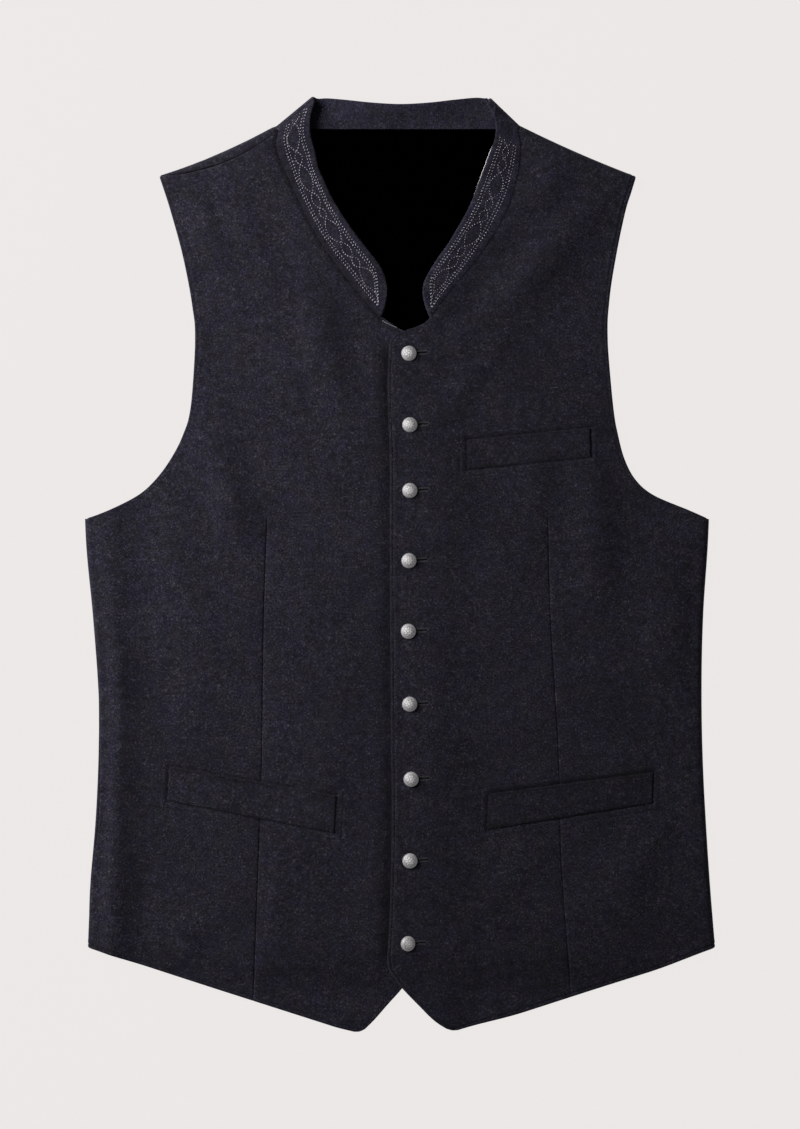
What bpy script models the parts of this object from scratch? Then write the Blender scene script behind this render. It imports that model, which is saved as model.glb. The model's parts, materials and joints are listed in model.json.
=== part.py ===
"""Embroidered folk vest, buttoned and laid flat, front up.

Tables and named sizes are millimetres; MM turns them into metres where a mesh is made.
+X is the wearer's left, +Y the shoulders, +Z up from the surface that the back lies on.
Every cloth piece is a sheet: a grid of points on its middle surface, made thick by Solidify.
"""
import bpy
import bmesh
import numpy as np
from math import cos, hypot, pi, radians, sin
from mathutils.bvhtree import BVHTree

MM = 0.001

# ---- driving dimensions, mm ----
FRONT_THICK = 2.8          # faced wool front
BACK_THICK = 2.4
LINING_THICK = 1.0
COLLAR_THICK = 3.0
WELT_THICK = 1.6
GAP = 0.3                  # clearance between pieces that touch
SEAM_GAP = 0.8            # between edges sewn together on a curved fold
DART_DEPTH = 0.9           # groove along each dart
DART_HALF = 3.2
DART_TOP = 37.8
BACK_MID = BACK_THICK / 2  # middle of the back, whose underside is the resting face
FOLD_R = 3.0               # side and shoulder folds, to the middle of the cloth
FOLD_TOP = BACK_MID + 2 * FOLD_R
FLAT_MID = BACK_THICK + GAP + DART_DEPTH + FRONT_THICK / 2
HEM_MID = FRONT_THICK / 2  # the points below the back's hem lie on the surface
FOLD_FALL = 45.0           # distance in which a fold's height dies away inwards
QUARTER = FOLD_R * pi / 2  # cloth in a quarter turn of a fold
HALF = 2 * QUARTER

OVERLAP_IN, OVERLAP_OUT = 20.5, 42.0   # x where the left front comes down off the right one
OVERLAP_RISE = FRONT_THICK + GAP + 0.4
NECK_POINT = (4.3, 181.3)              # where the two necklines cross
LINING_RISE = LINING_THICK + GAP + 0.1 - DART_DEPTH
HEM_DROP_TOP, HEM_DROP_LOW = -300.5, -335.0


COLLAR_FOLD_R = 3.1
COLLAR_LOW = COLLAR_THICK / 2
COLLAR_STEP = 0.6          # collar stands this much prouder than the front at their seam

BUTTON_R = 6.6
SHANK_R = 1.3
EYELET_R = 1.9
SLIT_LENGTH = 14.8

# ---- outlines: v runs from hem 0, top of the cutaway 1, underarm 2, neck 3 to shoulder 4 ----
# columns: v, x, y, corner
RIGHT_EDGE = (
    (0.00, -32.4, -364.7, 1), (0.15, -20.7, -355.7, 0), (0.35, -9.8, -343.6, 0),
    (0.60, 2.0, -330.3, 0), (1.00, 19.1, -306.9, 1), (2.00, 19.1, 34.7, 0),
    (3.00, 19.1, 174.3, 1), (3.12, -4.3, 184.9, 0), (3.20, -15.2, 191.1, 0),
    (3.30, -30.0, 209.0, 0), (3.45, -49.9, 234.9, 0), (3.60, -66.7, 260.9, 0),
    (3.75, -79.6, 286.7, 0), (3.90, -90.9, 312.4, 0), (4.00, -98.0, 339.7, 1))
RIGHT_SIDE = (
    (0.00, -243.0, -297.9, 1), (0.50, -241.4, -250.8, 0), (1.00, -237.5, -204.0, 0),
    (1.25, -235.2, -160.0, 0), (1.50, -234.8, -106.5, 0), (1.75, -239.1, -40.2, 0),
    (1.95, -244.5, 18.3, 0), (2.00, -245.3, 34.7, 1), (2.15, -226.6, 41.7, 0),
    (2.30, -204.0, 53.4, 0), (2.45, -190.7, 65.1, 0), (2.60, -179.0, 80.7, 0),
    (2.75, -168.9, 100.2, 0), (2.90, -162.6, 123.6, 0), (3.00, -159.5, 170.4, 0),
    (3.30, -161.8, 201.6, 0), (3.55, -168.9, 239.1, 0), (3.80, -179.0, 276.5, 0),
    (3.93, -184.5, 293.7, 0), (4.00, -186.8, 300.7, 1))
LEFT_EDGE = (
    (0.00, 41.0, -363.5, 1), (0.15, 27.7, -355.3, 0), (0.35, 15.2, -344.0, 0),
    (0.60, 2.3, -331.9, 0), (0.80, -4.3, -321.8, 0), (1.00, -9.8, -310.1, 0),
    (1.10, -9.8, -285.9, 0), (2.00, -8.6, 34.7, 0), (2.90, -8.6, 161.8, 0),
    (3.00, -7.4, 173.6, 0), (3.05, -2.7, 179.0, 0), (3.12, 5.1, 182.5, 0),
    (3.20, 23.8, 191.1, 0), (3.30, 40.2, 213.3, 0), (3.45, 56.3, 232.8, 0),
    (3.60, 72.9, 255.5, 0), (3.75, 85.8, 281.2, 0), (3.90, 92.9, 312.4, 0),
    (4.00, 94.0, 340.5, 1))
LEFT_SIDE = (
    (0.00, 245.3, -297.9, 1), (0.50, 241.4, -250.8, 0), (1.00, 238.3, -204.0, 0),
    (1.25, 236.0, -160.0, 0), (1.50, 234.8, -106.5, 0), (1.75, 236.0, -40.2, 0),
    (1.95, 239.8, 18.3, 0), (2.00, 240.6, 34.7, 1), (2.15, 225.0, 41.7, 0),
    (2.30, 197.7, 53.4, 0), (2.45, 183.7, 65.1, 0), (2.60, 175.1, 80.7, 0),
    (2.75, 169.7, 100.2, 0), (2.90, 165.8, 123.6, 0), (3.00, 161.8, 170.4, 0),
    (3.30, 163.0, 205.5, 0), (3.55, 168.1, 239.1, 0), (3.80, 175.9, 276.5, 0),
    (3.93, 181.3, 293.7, 0), (4.00, 182.9, 301.5, 1))

# shoulder folds seen from above: neck end and tip as |x|, y, the sag between them, and the
# cloth of the back that shows past the fold at the neck end, midway and at the tip
SHOULDERS = {
    "right": {"neck": (95.0, 342.5), "tip": (186.8, 302.2), "sag": 2.3, "shown": (4.5, 9.0, 1.2)},
    "left": {"neck": (92.4, 341.6), "tip": (182.9, 303.0), "sag": 1.3, "shown": (-1.2, -1.2, -1.2)}}
SHOULDER_LEAN = radians(24.0)   # the shoulder line's slope
# side folds from above, columns: y, |x|, cloth of the back that shows past the fold
RIGHT_FOLD = (
    (-297.9, 243.0, -0.4), (-250.8, 241.4, 1.4), (-204.0, 237.5, 3.2), (-160.0, 235.2, 2.6),
    (-106.5, 234.8, 0.6), (-40.2, 239.1, -0.8), (18.3, 244.5, -0.8), (34.7, 245.3, -0.6))
LEFT_FOLD = (
    (-297.9, 245.3, -0.6), (-250.8, 241.4, -1.0), (-204.0, 238.3, -1.0), (-160.0, 236.0, -1.0),
    (-106.5, 234.8, -1.0), (-40.2, 236.0, -1.0), (18.3, 239.8, -1.0), (34.7, 240.6, -0.6))

# darts, columns: y, x
RIGHT_DART = ((-338.9, -114.3), (-262.5, -111.2), (-168.9, -108.0), (-28.5, -105.7), (37.8, -103.4))
LEFT_DART = ((-332.7, 133.0), (-223.5, 125.2), (-153.3, 123.6), (-28.5, 116.6), (37.8, 115.0))

# soft creases in the cloth, columns: x, y, direction in degrees, half length, half width, rise
CREASES = (
    (-62.0, 160.0, 60.0, 60.0, 16.0, 1.0),
    (-128.0, 5.0, 80.0, 75.0, 14.0, 1.1),
    (-150.0, -235.0, 52.0, 55.0, 16.0, 1.0),
    (95.0, 265.0, -52.0, 60.0, 14.0, 1.1),
    (128.0, 190.0, 70.0, 55.0, 18.0, 0.9),
    (165.0, 20.0, -55.0, 50.0, 15.0, 1.0),
    (185.0, -120.0, 78.0, 60.0, 16.0, 0.8),
    (60.0, -60.0, 84.0, 90.0, 14.0, 0.8),
    (-190.0, -60.0, -72.0, 70.0, 18.0, 0.9),
    (85.0, -255.0, 60.0, 45.0, 16.0, 0.8))

# collar sections from the right front end round the neck to the left front end,
# columns: base x, base y, free edge x, free edge y, rise of the free edge
COLLAR_RIGHT = (
    (-14.6, 192.4, -9.0, 217.2, 1.6), (-20.2, 198.7, -10.1, 224.6, 2.0),
    (-29.4, 209.5, -14.4, 232.4, 2.6), (-39.6, 222.4, -21.4, 241.0, 3.0),
    (-49.3, 235.4, -29.6, 251.4, 3.2), (-58.3, 248.1, -37.4, 262.9, 3.4),
    (-66.1, 261.2, -44.2, 273.2, 3.4), (-72.6, 273.9, -51.5, 285.5, 3.2),
    (-79.0, 286.9, -57.3, 298.0, 2.8), (-84.8, 299.7, -62.0, 309.3, 2.2),
    (-89.9, 312.5, -64.4, 321.0, 1.4), (-92.4, 325.7, -67.9, 335.0, 0.6),
    (-90.4, 331.9, -68.6, 349.1, 0.1), (-88.0, 338.6, -65.5, 361.1, 0.0))
COLLAR_BACK = (
    (-77.6, 336.9, -63.2, 361.7, 0.0), (-62.0, 336.9, -58.1, 362.3, 0.2),
    (-42.5, 336.9, -41.7, 361.1, 3.5), (-21.4, 336.9, -21.4, 359.3, 6.6),
    (0.4, 336.9, 0.4, 358.0, 7.8), (22.2, 336.9, 22.2, 359.3, 6.6),
    (43.3, 336.9, 42.5, 361.5, 3.4), (62.8, 336.9, 58.1, 363.1, 0.2),
    (77.6, 336.9, 64.4, 361.8, 0.0))
COLLAR_LEFT = (
    (87.6, 337.4, 68.1, 359.6, 0.0), (90.0, 331.9, 75.3, 348.3, 0.1),
    (92.4, 325.7, 71.4, 332.7, 0.6), (91.9, 312.4, 65.8, 317.1, 1.4),
    (89.8, 299.5, 62.8, 305.0, 2.0), (84.7, 281.4, 58.5, 293.7, 2.6),
    (79.7, 270.1, 54.6, 283.5, 3.0), (72.0, 255.9, 49.1, 271.8, 3.3),
    (61.9, 241.8, 41.0, 257.8, 3.4), (55.4, 233.2, 34.9, 248.8, 3.3),
    (47.4, 223.5, 28.1, 239.5, 3.0), (39.2, 213.7, 21.4, 228.5, 2.5),
    (30.6, 202.8, 17.0, 220.0, 2.0), (23.2, 192.0, 16.0, 212.6, 1.6))

# black lining below the neck opening, columns: y, right x, left x
LINING = (
    (336.2, -84.0, 82.8), (312.4, -75.0, 75.8), (274.2, -56.6, 60.8), (235.2, -35.0, 40.4),
    (205.5, -19.5, 26.0), (182.1, -14.0, 22.5), (165.0, -9.0, 18.0))

# welts, corners as x, y: upper right-hand, upper left-hand, lower left-hand, lower right-hand
# of the wearer, each panel it lies on
WELTS = {
    "welt_right": ("right", ((-179.0, -158.7), (-49.5, -181.3), (-51.1, -208.7), (-180.6, -183.7))),
    "welt_left": ("left", ((69.0, -180.3), (197.0, -163.4), (196.2, -188.4), (68.2, -209.1))),
    "welt_chest": ("left", ((52.1, 95.1), (148.8, 104.6), (149.2, 83.5), (52.5, 73.9)))}
WELT_LIFT = FRONT_THICK / 2 + 0.5 + WELT_THICK / 2

# button centres, columns: x, y
BUTTONS = (
    (6.6, 164.4), (7.3, 108.7), (7.3, 57.4), (6.6, 2.6), (6.2, -52.5), (7.2, -109.4),
    (8.3, -168.0), (7.4, -231.7), (5.3, -296.3))

# ---- how finely the cloth is divided ----
FULL_ROW = 220.0           # a row shorter than this draws its columns together
EDGE_STEPS = (0.0, 0.5, 1.5, 2.7, 3.9, 5.0, 8.5, 18.0)   # cloth from a folded edge inwards
BACK_TOP_STEPS = (0.0, 0.5, 2.0, 4.0, 6.0, 8.0, 10.0, 12.0, 14.0, 20.0)
FRONT_ROWS = (
    0.0, 0.09, 0.24, 0.42, 0.62, 0.82, 1.0, 1.06, 1.17, 1.32, 1.5, 1.68, 1.86, 2.0, 2.018, 2.036, 2.055,
    2.08, 2.15, 2.26, 2.42, 2.6, 2.8, 3.0, 3.05, 3.11, 3.19, 3.3, 3.42, 3.54, 3.66, 3.8, 3.88)
BACK_UNDERARM_Y = 30.0
BACK_UNDERARM_SLOPE = 1.8  # the back's armhole leaves its fold at this slope, for this rise
BACK_UNDERARM_RISE = 16.0
BACK_ARM_ROWS = (
    30.0, 31.5, 33.1, 35.0, 37.5, 41.5, 48.0, 60.0, 80.0, 110.0, 160.0, 220.0, 275.0)
BACK_NECK_X = (-145.0, -128.0, -113.0, -99.0, -95.2, -91.5, -75.0, 0.0, 74.0, 90.8, 94.0,
               108.0, 124.0, 142.0)
BACK_NECK_Y = 335.0
ARMHOLE_INSET = 1.8
COLLAR_COLUMNS = 5
COLLAR_FOLD_STEPS = 5
WELT_ROWS = 3
WELT_COLUMNS = 10

# button, from its crown out and down to the foot of its shank, columns: radius, height
BUTTON_PROFILE = (
    (0.0, 8.4), (2.6, 8.1), (4.8, 7.1), (6.1, 5.7), (BUTTON_R, 4.7), (6.2, 4.0), (4.5, 3.6),
    (SHANK_R, 3.5), (SHANK_R, 0.0), (0.0, 0.0))

WOOL = (0.022, 0.021, 0.030, 1.0)
BLACK = (0.003, 0.003, 0.004, 1.0)
SILVER = (0.30, 0.29, 0.29, 1.0)


# ---- curves and heights ----
def smooth(value):
    """Ease from 0 to 1 with level ends."""
    t = min(max(value, 0.0), 1.0)
    return t * t * (3 - 2 * t)


def edge_point(rows, v):
    """Point at v on an outline: a Hermite curve through its rows, free to turn at a corner."""
    last = len(rows) - 2
    k = min(max(sum(1 for row in rows if row[0] <= v) - 1, 0), last)
    a, b = rows[k], rows[k + 1]
    span = b[0] - a[0]
    t = (v - a[0]) / span
    point = []
    for axis in (1, 2):
        chord = (b[axis] - a[axis]) / span
        before, after = rows[max(k - 1, 0)], rows[min(k + 2, last + 1)]
        start = chord if a[3] or k == 0 else (b[axis] - before[axis]) / (b[0] - before[0])
        end = chord if b[3] or k == last else (after[axis] - a[axis]) / (after[0] - a[0])
        h = t * t * (3 - 2 * t)
        point.append(a[axis] * (1 - h) + b[axis] * h
                     + span * (t * (1 - t) ** 2 * start - t * t * (1 - t) * end))
    return point


def column(rows, at, index):
    """Straight-line reading of a table's column where its first column equals at."""
    first = [row[0] for row in rows]
    return float(np.interp(at, first, [row[index] for row in rows]))


def side_tangent(wearer, y):
    """|x| where the cloth starts to turn round the side fold."""
    rows = RIGHT_FOLD if wearer == "right" else LEFT_FOLD
    return column(rows, y, 1) - FOLD_R - FRONT_THICK / 2


def along_shoulder(wearer, x):
    """Share of the way from the neck to the shoulder tip, past 0 or 1 beyond them."""
    shape = SHOULDERS[wearer]
    return (abs(x) - shape["neck"][0]) / (shape["tip"][0] - shape["neck"][0])


def shoulder_y(wearer, x):
    """Height of the shoulder fold at x, carried on straight past its ends."""
    shape = SHOULDERS[wearer]
    t = along_shoulder(wearer, x)
    inside = min(max(t, 0.0), 1.0)
    drop = shape["neck"][1] - shape["tip"][1]
    return shape["neck"][1] - drop * t - 4 * shape["sag"] * inside * (1 - inside)


def shoulder_shown(wearer, x):
    """Cloth of the back that shows past the shoulder fold: a parabola through three values."""
    neck, middle, tip = SHOULDERS[wearer]["shown"]
    t = min(max(along_shoulder(wearer, x), 0.0), 1.0)
    return neck + (4 * middle - 3 * neck - tip) * t + (2 * neck + 2 * tip - 4 * middle) * t * t


def shoulder_over(wearer, x, y):
    """Distance beyond the line where the cloth starts to turn round the shoulder fold."""
    return (y - shoulder_y(wearer, x)) * cos(SHOULDER_LEAN) + FOLD_R + FRONT_THICK / 2


def crease_height(x, y):
    """Sum of the soft creases at a point."""
    total = 0.0
    for cx, cy, angle, length, width, rise in CREASES:
        ca, sa = cos(radians(angle)), sin(radians(angle))
        along = (x - cx) * ca + (y - cy) * sa
        across = (y - cy) * ca - (x - cx) * sa
        total += rise * np.exp(-(along / length) ** 2 - (across / width) ** 2)
    return total


def dart_distance(wearer, x, y):
    rows = RIGHT_DART if wearer == "right" else LEFT_DART
    return x - column(rows, y, 1)


def front_height(wearer, x, y):
    """Height of a front's middle surface before its fold turns down."""
    from_side = (side_tangent(wearer, y) - abs(x)) / FOLD_FALL
    from_shoulder = -shoulder_over(wearer, x, y) / FOLD_FALL
    at_fold = 1 - smooth(from_side) * smooth(from_shoulder)
    off_folds = 1 - at_fold
    z = FLAT_MID + (FOLD_TOP - FLAT_MID) * at_fold
    from_neck = hypot(x - NECK_POINT[0], y - NECK_POINT[1])
    z += LINING_RISE * (1 - smooth((from_neck - 24.0) / 34.0))
    on_back = 1 - smooth((HEM_DROP_TOP - y) / (HEM_DROP_TOP - HEM_DROP_LOW))
    z -= (FLAT_MID - HEM_MID) * (1 - on_back)
    if wearer == "left":
        z += OVERLAP_RISE * (1 - smooth((x - OVERLAP_IN) / (OVERLAP_OUT - OVERLAP_IN)))
    from_edge = smooth((abs(x - 5.0) - 22.0) / 25.0)
    z += crease_height(x, y) * off_folds * on_back * from_edge
    groove = max(1 - (dart_distance(wearer, x, y) / DART_HALF) ** 2, 0.0)
    return z - DART_DEPTH * groove * smooth((DART_TOP - y) / 30.0) * on_back


def turned(point, direction, beyond, base):
    """Move a point that lies beyond a fold line round the fold, downwards from base."""
    angle = beyond / FOLD_R
    shift = FOLD_R * sin(angle) - beyond
    return point + direction * shift, base - FOLD_R * (1 - cos(angle))


def shoulder_direction(wearer):
    sign = -1 if wearer == "right" else 1
    return np.array((sign * sin(SHOULDER_LEAN), cos(SHOULDER_LEAN)))


def front_point(wearer, x, y):
    """Place a point of a front's flat cloth, turned down at the side and shoulder folds."""
    sign = -1 if wearer == "right" else 1
    point = np.array((x, y))
    past_side = abs(x) - side_tangent(wearer, y)
    past_shoulder = shoulder_over(wearer, x, y)
    if past_side > 0:
        base = front_height(wearer, x - sign * past_side, y)
        point, z = turned(point, np.array((sign, 0.0)), past_side, base)
    elif past_shoulder > 0:
        lean = shoulder_direction(wearer)
        base = front_height(wearer, *(point - lean * past_shoulder))
        point, z = turned(point, lean, past_shoulder, base)
    else:
        z = front_height(wearer, x, y)
    return point[0], point[1], z


def back_point(x, y):
    """Place a point of the back's flat cloth, turned up at the folds and on over the front."""
    wearer = "right" if x < 0 else "left"
    sign = -1 if wearer == "right" else 1
    point = np.array((x, y))
    past_side = abs(x) - side_tangent(wearer, y)
    past_shoulder = shoulder_over(wearer, x, y)
    if past_side > 0:
        direction, past = np.array((float(sign), 0.0)), past_side
    elif past_shoulder > 0:
        direction, past = shoulder_direction(wearer), past_shoulder
    else:
        return x, y, BACK_MID
    line = point - direction * past
    if past > HALF:
        place = line - direction * (past - HALF)
        return place[0], place[1], front_height(wearer, place[0], place[1])
    angle = past / FOLD_R
    place = line + direction * FOLD_R * sin(angle)
    top = front_height(wearer, line[0], line[1])
    rise = BACK_MID + FOLD_R * (1 - cos(angle))
    return place[0], place[1], rise + (top - FOLD_TOP) * angle / pi


# ---- cloth pieces ----
def material(name, colour, roughness, metallic=0.0):
    mat = bpy.data.materials.new(name)
    mat.use_nodes = True
    shader = mat.node_tree.nodes["Principled BSDF"]
    shader.inputs["Base Color"].default_value = colour
    shader.inputs["Roughness"].default_value = roughness
    shader.inputs["Metallic"].default_value = metallic
    return mat


def sheet(name, points, thick, colour, bevel=0.0):
    """A closed cloth piece on a grid of middle-surface points, rows by columns, in mm."""
    rows, columns = len(points), len(points[0])
    mesh = bpy.data.meshes.new(name)
    grid = bmesh.new()
    bmesh.ops.create_grid(grid, x_segments=columns - 1, y_segments=rows - 1, size=0.5)
    ordered = sorted(grid.verts, key=lambda v: (round(v.co.y, 5), round(v.co.x, 5)))
    for index, vert in enumerate(ordered):
        x, y, z = points[index // columns][index % columns]
        vert.co = (x * MM, y * MM, z * MM)
    grid.to_mesh(mesh)
    grid.free()
    mesh.shade_smooth()
    piece = bpy.data.objects.new(name, mesh)
    vest.objects.link(piece)
    mesh.materials.append(material(name + "_cloth", colour, 0.9))
    wall = piece.modifiers.new("wall", "SOLIDIFY")
    wall.thickness = thick * MM
    wall.offset = 0.0
    if bevel:
        edge = piece.modifiers.new("soft_edge", "BEVEL")
        edge.width = bevel * MM
        edge.segments = 1
        edge.limit_method = "ANGLE"
        edge.angle_limit = radians(60)
    return piece


def dart_share(wearer, inner, outer):
    """Share of a row at which it crosses the dart; above the dart it drifts to the middle."""
    share = 0.45
    rows = RIGHT_DART if wearer == "right" else LEFT_DART
    for _ in range(4):
        y = inner[1] + (outer[1] - inner[1]) * share
        share = (column(rows, y, 1) - inner[0]) / (outer[0] - inner[0])
    drift = smooth((inner[1] - DART_TOP) / 160.0)
    return share + (0.58 - share) * drift


def shoulder_seam(wearer, point, beyond_apex):
    """Slide a point along the lean of the shoulder to the seam, past the fold by its cloth."""
    reach = QUARTER + beyond_apex - SEAM_GAP / 2
    return point + shoulder_direction(wearer) * (reach - shoulder_over(wearer, *point))


def front_row(wearer, v):
    """Flat points of one row of a front, from the closure edge out."""
    right = wearer == "right"
    inner = np.array(edge_point(RIGHT_EDGE if right else LEFT_EDGE, v))
    outer = np.array(edge_point(RIGHT_SIDE if right else LEFT_SIDE, v))
    if v <= 2.0:
        shown = column(RIGHT_FOLD if right else LEFT_FOLD, outer[1], 2)
        reach = side_tangent(wearer, outer[1]) + QUARTER - shown - SEAM_GAP / 2
        outer[0] = -reach if right else reach
    length = hypot(*(outer - inner))
    unit = min(length / FULL_ROW, 1.0) / length
    dart = dart_share(wearer, inner, outer)
    near_side = 1 - max(EDGE_STEPS[-1] * unit, 13.0 / length)
    stops = [0.0, 4.0 / length, 14.0 * unit, 27.0 * unit, 42.0 * unit]
    stops += [0.5 * (stops[-1] + dart - 14.0 * unit), dart - 14.0 * unit]
    stops += [dart + part * DART_HALF / length for part in (-1.0, -0.45, 0.0, 0.45, 1.0)]
    stops += [dart + 14.0 * unit, 0.5 * (near_side + dart + 14.0 * unit)]
    stops += [near_side - 20.0 * unit, near_side]
    stops += [1 - step / length for step in reversed(EDGE_STEPS[:-1])]
    return [inner + (outer - inner) * stop for stop in stops]


def front(wearer):
    """A front from its hem to its shoulder seam, folded round the side and the shoulder."""
    rows = [front_row(wearer, v) for v in FRONT_ROWS]
    seam = [shoulder_seam(wearer, point, -shoulder_shown(wearer, point[0]))
            for point in front_row(wearer, 4.0)]
    below = rows[-1]
    for step in reversed(EDGE_STEPS[:-1]):
        rows.append([top + (low - top) * step / hypot(*(low - top))
                     for low, top in zip(below, seam)])
    points = [[front_point(wearer, *point) for point in row] for row in rows]
    return sheet("front_" + wearer, points, FRONT_THICK, WOOL), middle_surface(points)


def armhole_reach(wearer, y):
    """|x| of the back's armhole, which lies just inside the front's."""
    rows = [row for row in (RIGHT_SIDE if wearer == "right" else LEFT_SIDE) if row[0] >= 2.0]
    level = y + ARMHOLE_INSET
    return abs(float(np.interp(level, [row[2] for row in rows], [row[1] for row in rows]))) - 1.0


def back_columns(right_x, left_x):
    """x of each column between the two ends of a row, in step with BACK_NECK_X at the top."""
    margin = EDGE_STEPS[-1]
    low = margin - SHOULDERS["right"]["tip"][0]
    high = SHOULDERS["left"]["tip"][0] - margin
    middle = [right_x + margin + (left_x - right_x - 2 * margin) * (x - low) / (high - low)
              for x in BACK_NECK_X]
    return ([right_x + step for step in EDGE_STEPS] + middle
            + [left_x - step for step in reversed(EDGE_STEPS)])


def back_seam(x):
    """Point of the back's shoulder seam or neck edge at x on the flat cloth."""
    wearer = "right" if x < 0 else "left"
    if along_shoulder(wearer, x) < 0:
        return np.array((x, BACK_NECK_Y))
    line = np.array((x, shoulder_y(wearer, x)))
    return shoulder_seam(wearer, line, shoulder_shown(wearer, x))


def back_reach(wearer, y):
    """|x| of the back's edge at y, on the flat cloth."""
    folds = RIGHT_FOLD if wearer == "right" else LEFT_FOLD
    side = side_tangent(wearer, y) + QUARTER + column(folds, y, 2) - SEAM_GAP / 2
    if y <= BACK_UNDERARM_Y:
        return side
    above = min(y - BACK_UNDERARM_Y, BACK_UNDERARM_RISE)
    return min(armhole_reach(wearer, y), side - BACK_UNDERARM_SLOPE * above)


def back():
    """The back from its hem up to the armholes, then to the neck and shoulder seams."""
    levels = [edge_point(RIGHT_SIDE, v)[1] for v in FRONT_ROWS if v < 2.0] + list(BACK_ARM_ROWS)
    rows = [[np.array((x, y)) for x in back_columns(-back_reach("right", y), back_reach("left", y))]
            for y in levels]
    top_x = back_columns(-SHOULDERS["right"]["tip"][0], SHOULDERS["left"]["tip"][0])
    seam = [back_seam(x) for x in top_x]
    below = rows[-1]
    for step in reversed(BACK_TOP_STEPS):
        rows.append([top + (low - top) * step / hypot(*(low - top))
                     for low, top in zip(below, seam)])
    points = [[back_point(*point) for point in row] for row in rows]
    return sheet("back_panel", points, BACK_THICK, WOOL)


def lining():
    middle = BACK_THICK + GAP + LINING_THICK / 2
    points = [[(low + (high - low) * part / 5, y, middle) for part in range(6)]
              for y, low, high in reversed(LINING)]
    return sheet("back_lining", points, LINING_THICK, BLACK)


def collar_section(base, free, base_z, free_z):
    """One line of points across the collar, level at its seam."""
    points = []
    for part in range(COLLAR_COLUMNS):
        share = part / (COLLAR_COLUMNS - 1)
        place = base + (free - base) * share
        points.append((*place, base_z + (free_z - base_z) * smooth(share)))
    return points


def collar_fold(section, outward, going_down):
    """Lines of points where the collar turns under at one side of the neck."""
    base, free = np.array(section[0:2]), np.array(section[2:4])
    across = (free - base) / hypot(*(free - base))
    normal = np.array((-across[1], across[0])) * outward
    lines = []
    for step in range(1, COLLAR_FOLD_STEPS):
        angle = pi * step / COLLAR_FOLD_STEPS
        if not going_down:
            angle = pi - angle
        shift = normal * COLLAR_FOLD_R * sin(angle)
        z = COLLAR_LOW + COLLAR_FOLD_R * (1 + cos(angle))
        lines.append(collar_section(base + shift, free + shift, z, z))
    return lines


def collar_front(wearer, sections):
    lines = []
    for base_x, base_y, free_x, free_y, rise in sections:
        z = front_height(wearer, base_x, base_y) + COLLAR_STEP
        base, free = np.array((base_x, base_y)), np.array((free_x, free_y))
        lines.append(collar_section(base, free, z, z + rise))
    return lines


def collar():
    """One band: up the right front, folded under, across the back, folded over, down the left."""
    low = 2 * COLLAR_LOW
    lines = collar_front("right", COLLAR_RIGHT)
    turn = COLLAR_RIGHT[-1]
    lines += collar_fold(turn, 1, True)
    lines.append(collar_section(np.array(turn[0:2]), np.array(turn[2:4]), low / 2, low / 2))
    for base_x, base_y, free_x, free_y, rise in COLLAR_BACK:
        base, free = np.array((base_x, base_y)), np.array((free_x, free_y))
        lines.append(collar_section(base, free, COLLAR_LOW, COLLAR_LOW + rise))
    turn = COLLAR_LEFT[0]
    lines.append(collar_section(np.array(turn[0:2]), np.array(turn[2:4]), COLLAR_LOW, COLLAR_LOW))
    lines += collar_fold(turn, -1, False)
    lines += collar_front("left", COLLAR_LEFT)
    return sheet("collar", lines, COLLAR_THICK, WOOL, bevel=0.5)


def middle_surface(points):
    """The faceted middle surface of a sheet, for pieces that lie on it."""
    columns = len(points[0])
    verts = [point for row in points for point in row]
    quads = [(k, k + 1, k + 1 + columns, k + columns)
             for k in range(len(verts) - columns) if (k + 1) % columns]
    return BVHTree.FromPolygons(verts, quads)


def welt(name, surface, corners):
    """A straight welt laid on the middle surface of its front."""
    upper_right, upper_left, lower_left, lower_right = (np.array(c) for c in corners)
    points = []
    for down in range(WELT_ROWS + 1):
        share = down / WELT_ROWS
        first = lower_right + (upper_right - lower_right) * share
        last = lower_left + (upper_left - lower_left) * share
        row = []
        for part in range(WELT_COLUMNS + 1):
            x, y = first + (last - first) * part / WELT_COLUMNS
            hit = surface.ray_cast((x, y, 50.0), (0.0, 0.0, -1.0))[0]
            row.append([x, y, hit.z + WELT_LIFT])
        points.append(row)
    bridge_darts(points)
    return sheet(name, points, WELT_THICK, WOOL, bevel=0.4)


def bridge_darts(points):
    """Lift any point that sinks into a dart's groove to the line between its neighbours."""
    for row in points:
        for before, point, after in zip(row, row[1:], row[2:]):
            point[2] = max(point[2], 0.5 * (before[2] + after[2]))


# ---- buttons ----
def button_mesh():
    """Profile of a domed shank button, its shank's foot at the origin."""
    mesh = bpy.data.meshes.new("button")
    turned_shape = bmesh.new()
    verts = [turned_shape.verts.new((r * MM, 0, z * MM)) for r, z in BUTTON_PROFILE]
    for first, second in zip(verts, verts[1:]):
        turned_shape.edges.new((first, second))
    turned_shape.to_mesh(mesh)
    turned_shape.free()
    mesh.materials.append(material("antique_silver", SILVER, 0.4, 1.0))
    return mesh


def button(number, mesh, x, y):
    piece = bpy.data.objects.new("button_%d" % number, mesh)
    vest.objects.link(piece)
    foot = front_height("right", x, y) + FRONT_THICK / 2 + GAP
    piece.location = (x * MM, y * MM, foot * MM)
    turn = piece.modifiers.new("turn", "SCREW")
    turn.steps = turn.render_steps = 12
    turn.use_merge_vertices = True
    turn.merge_threshold = 0.00001
    turn.use_smooth_shade = True


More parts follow.
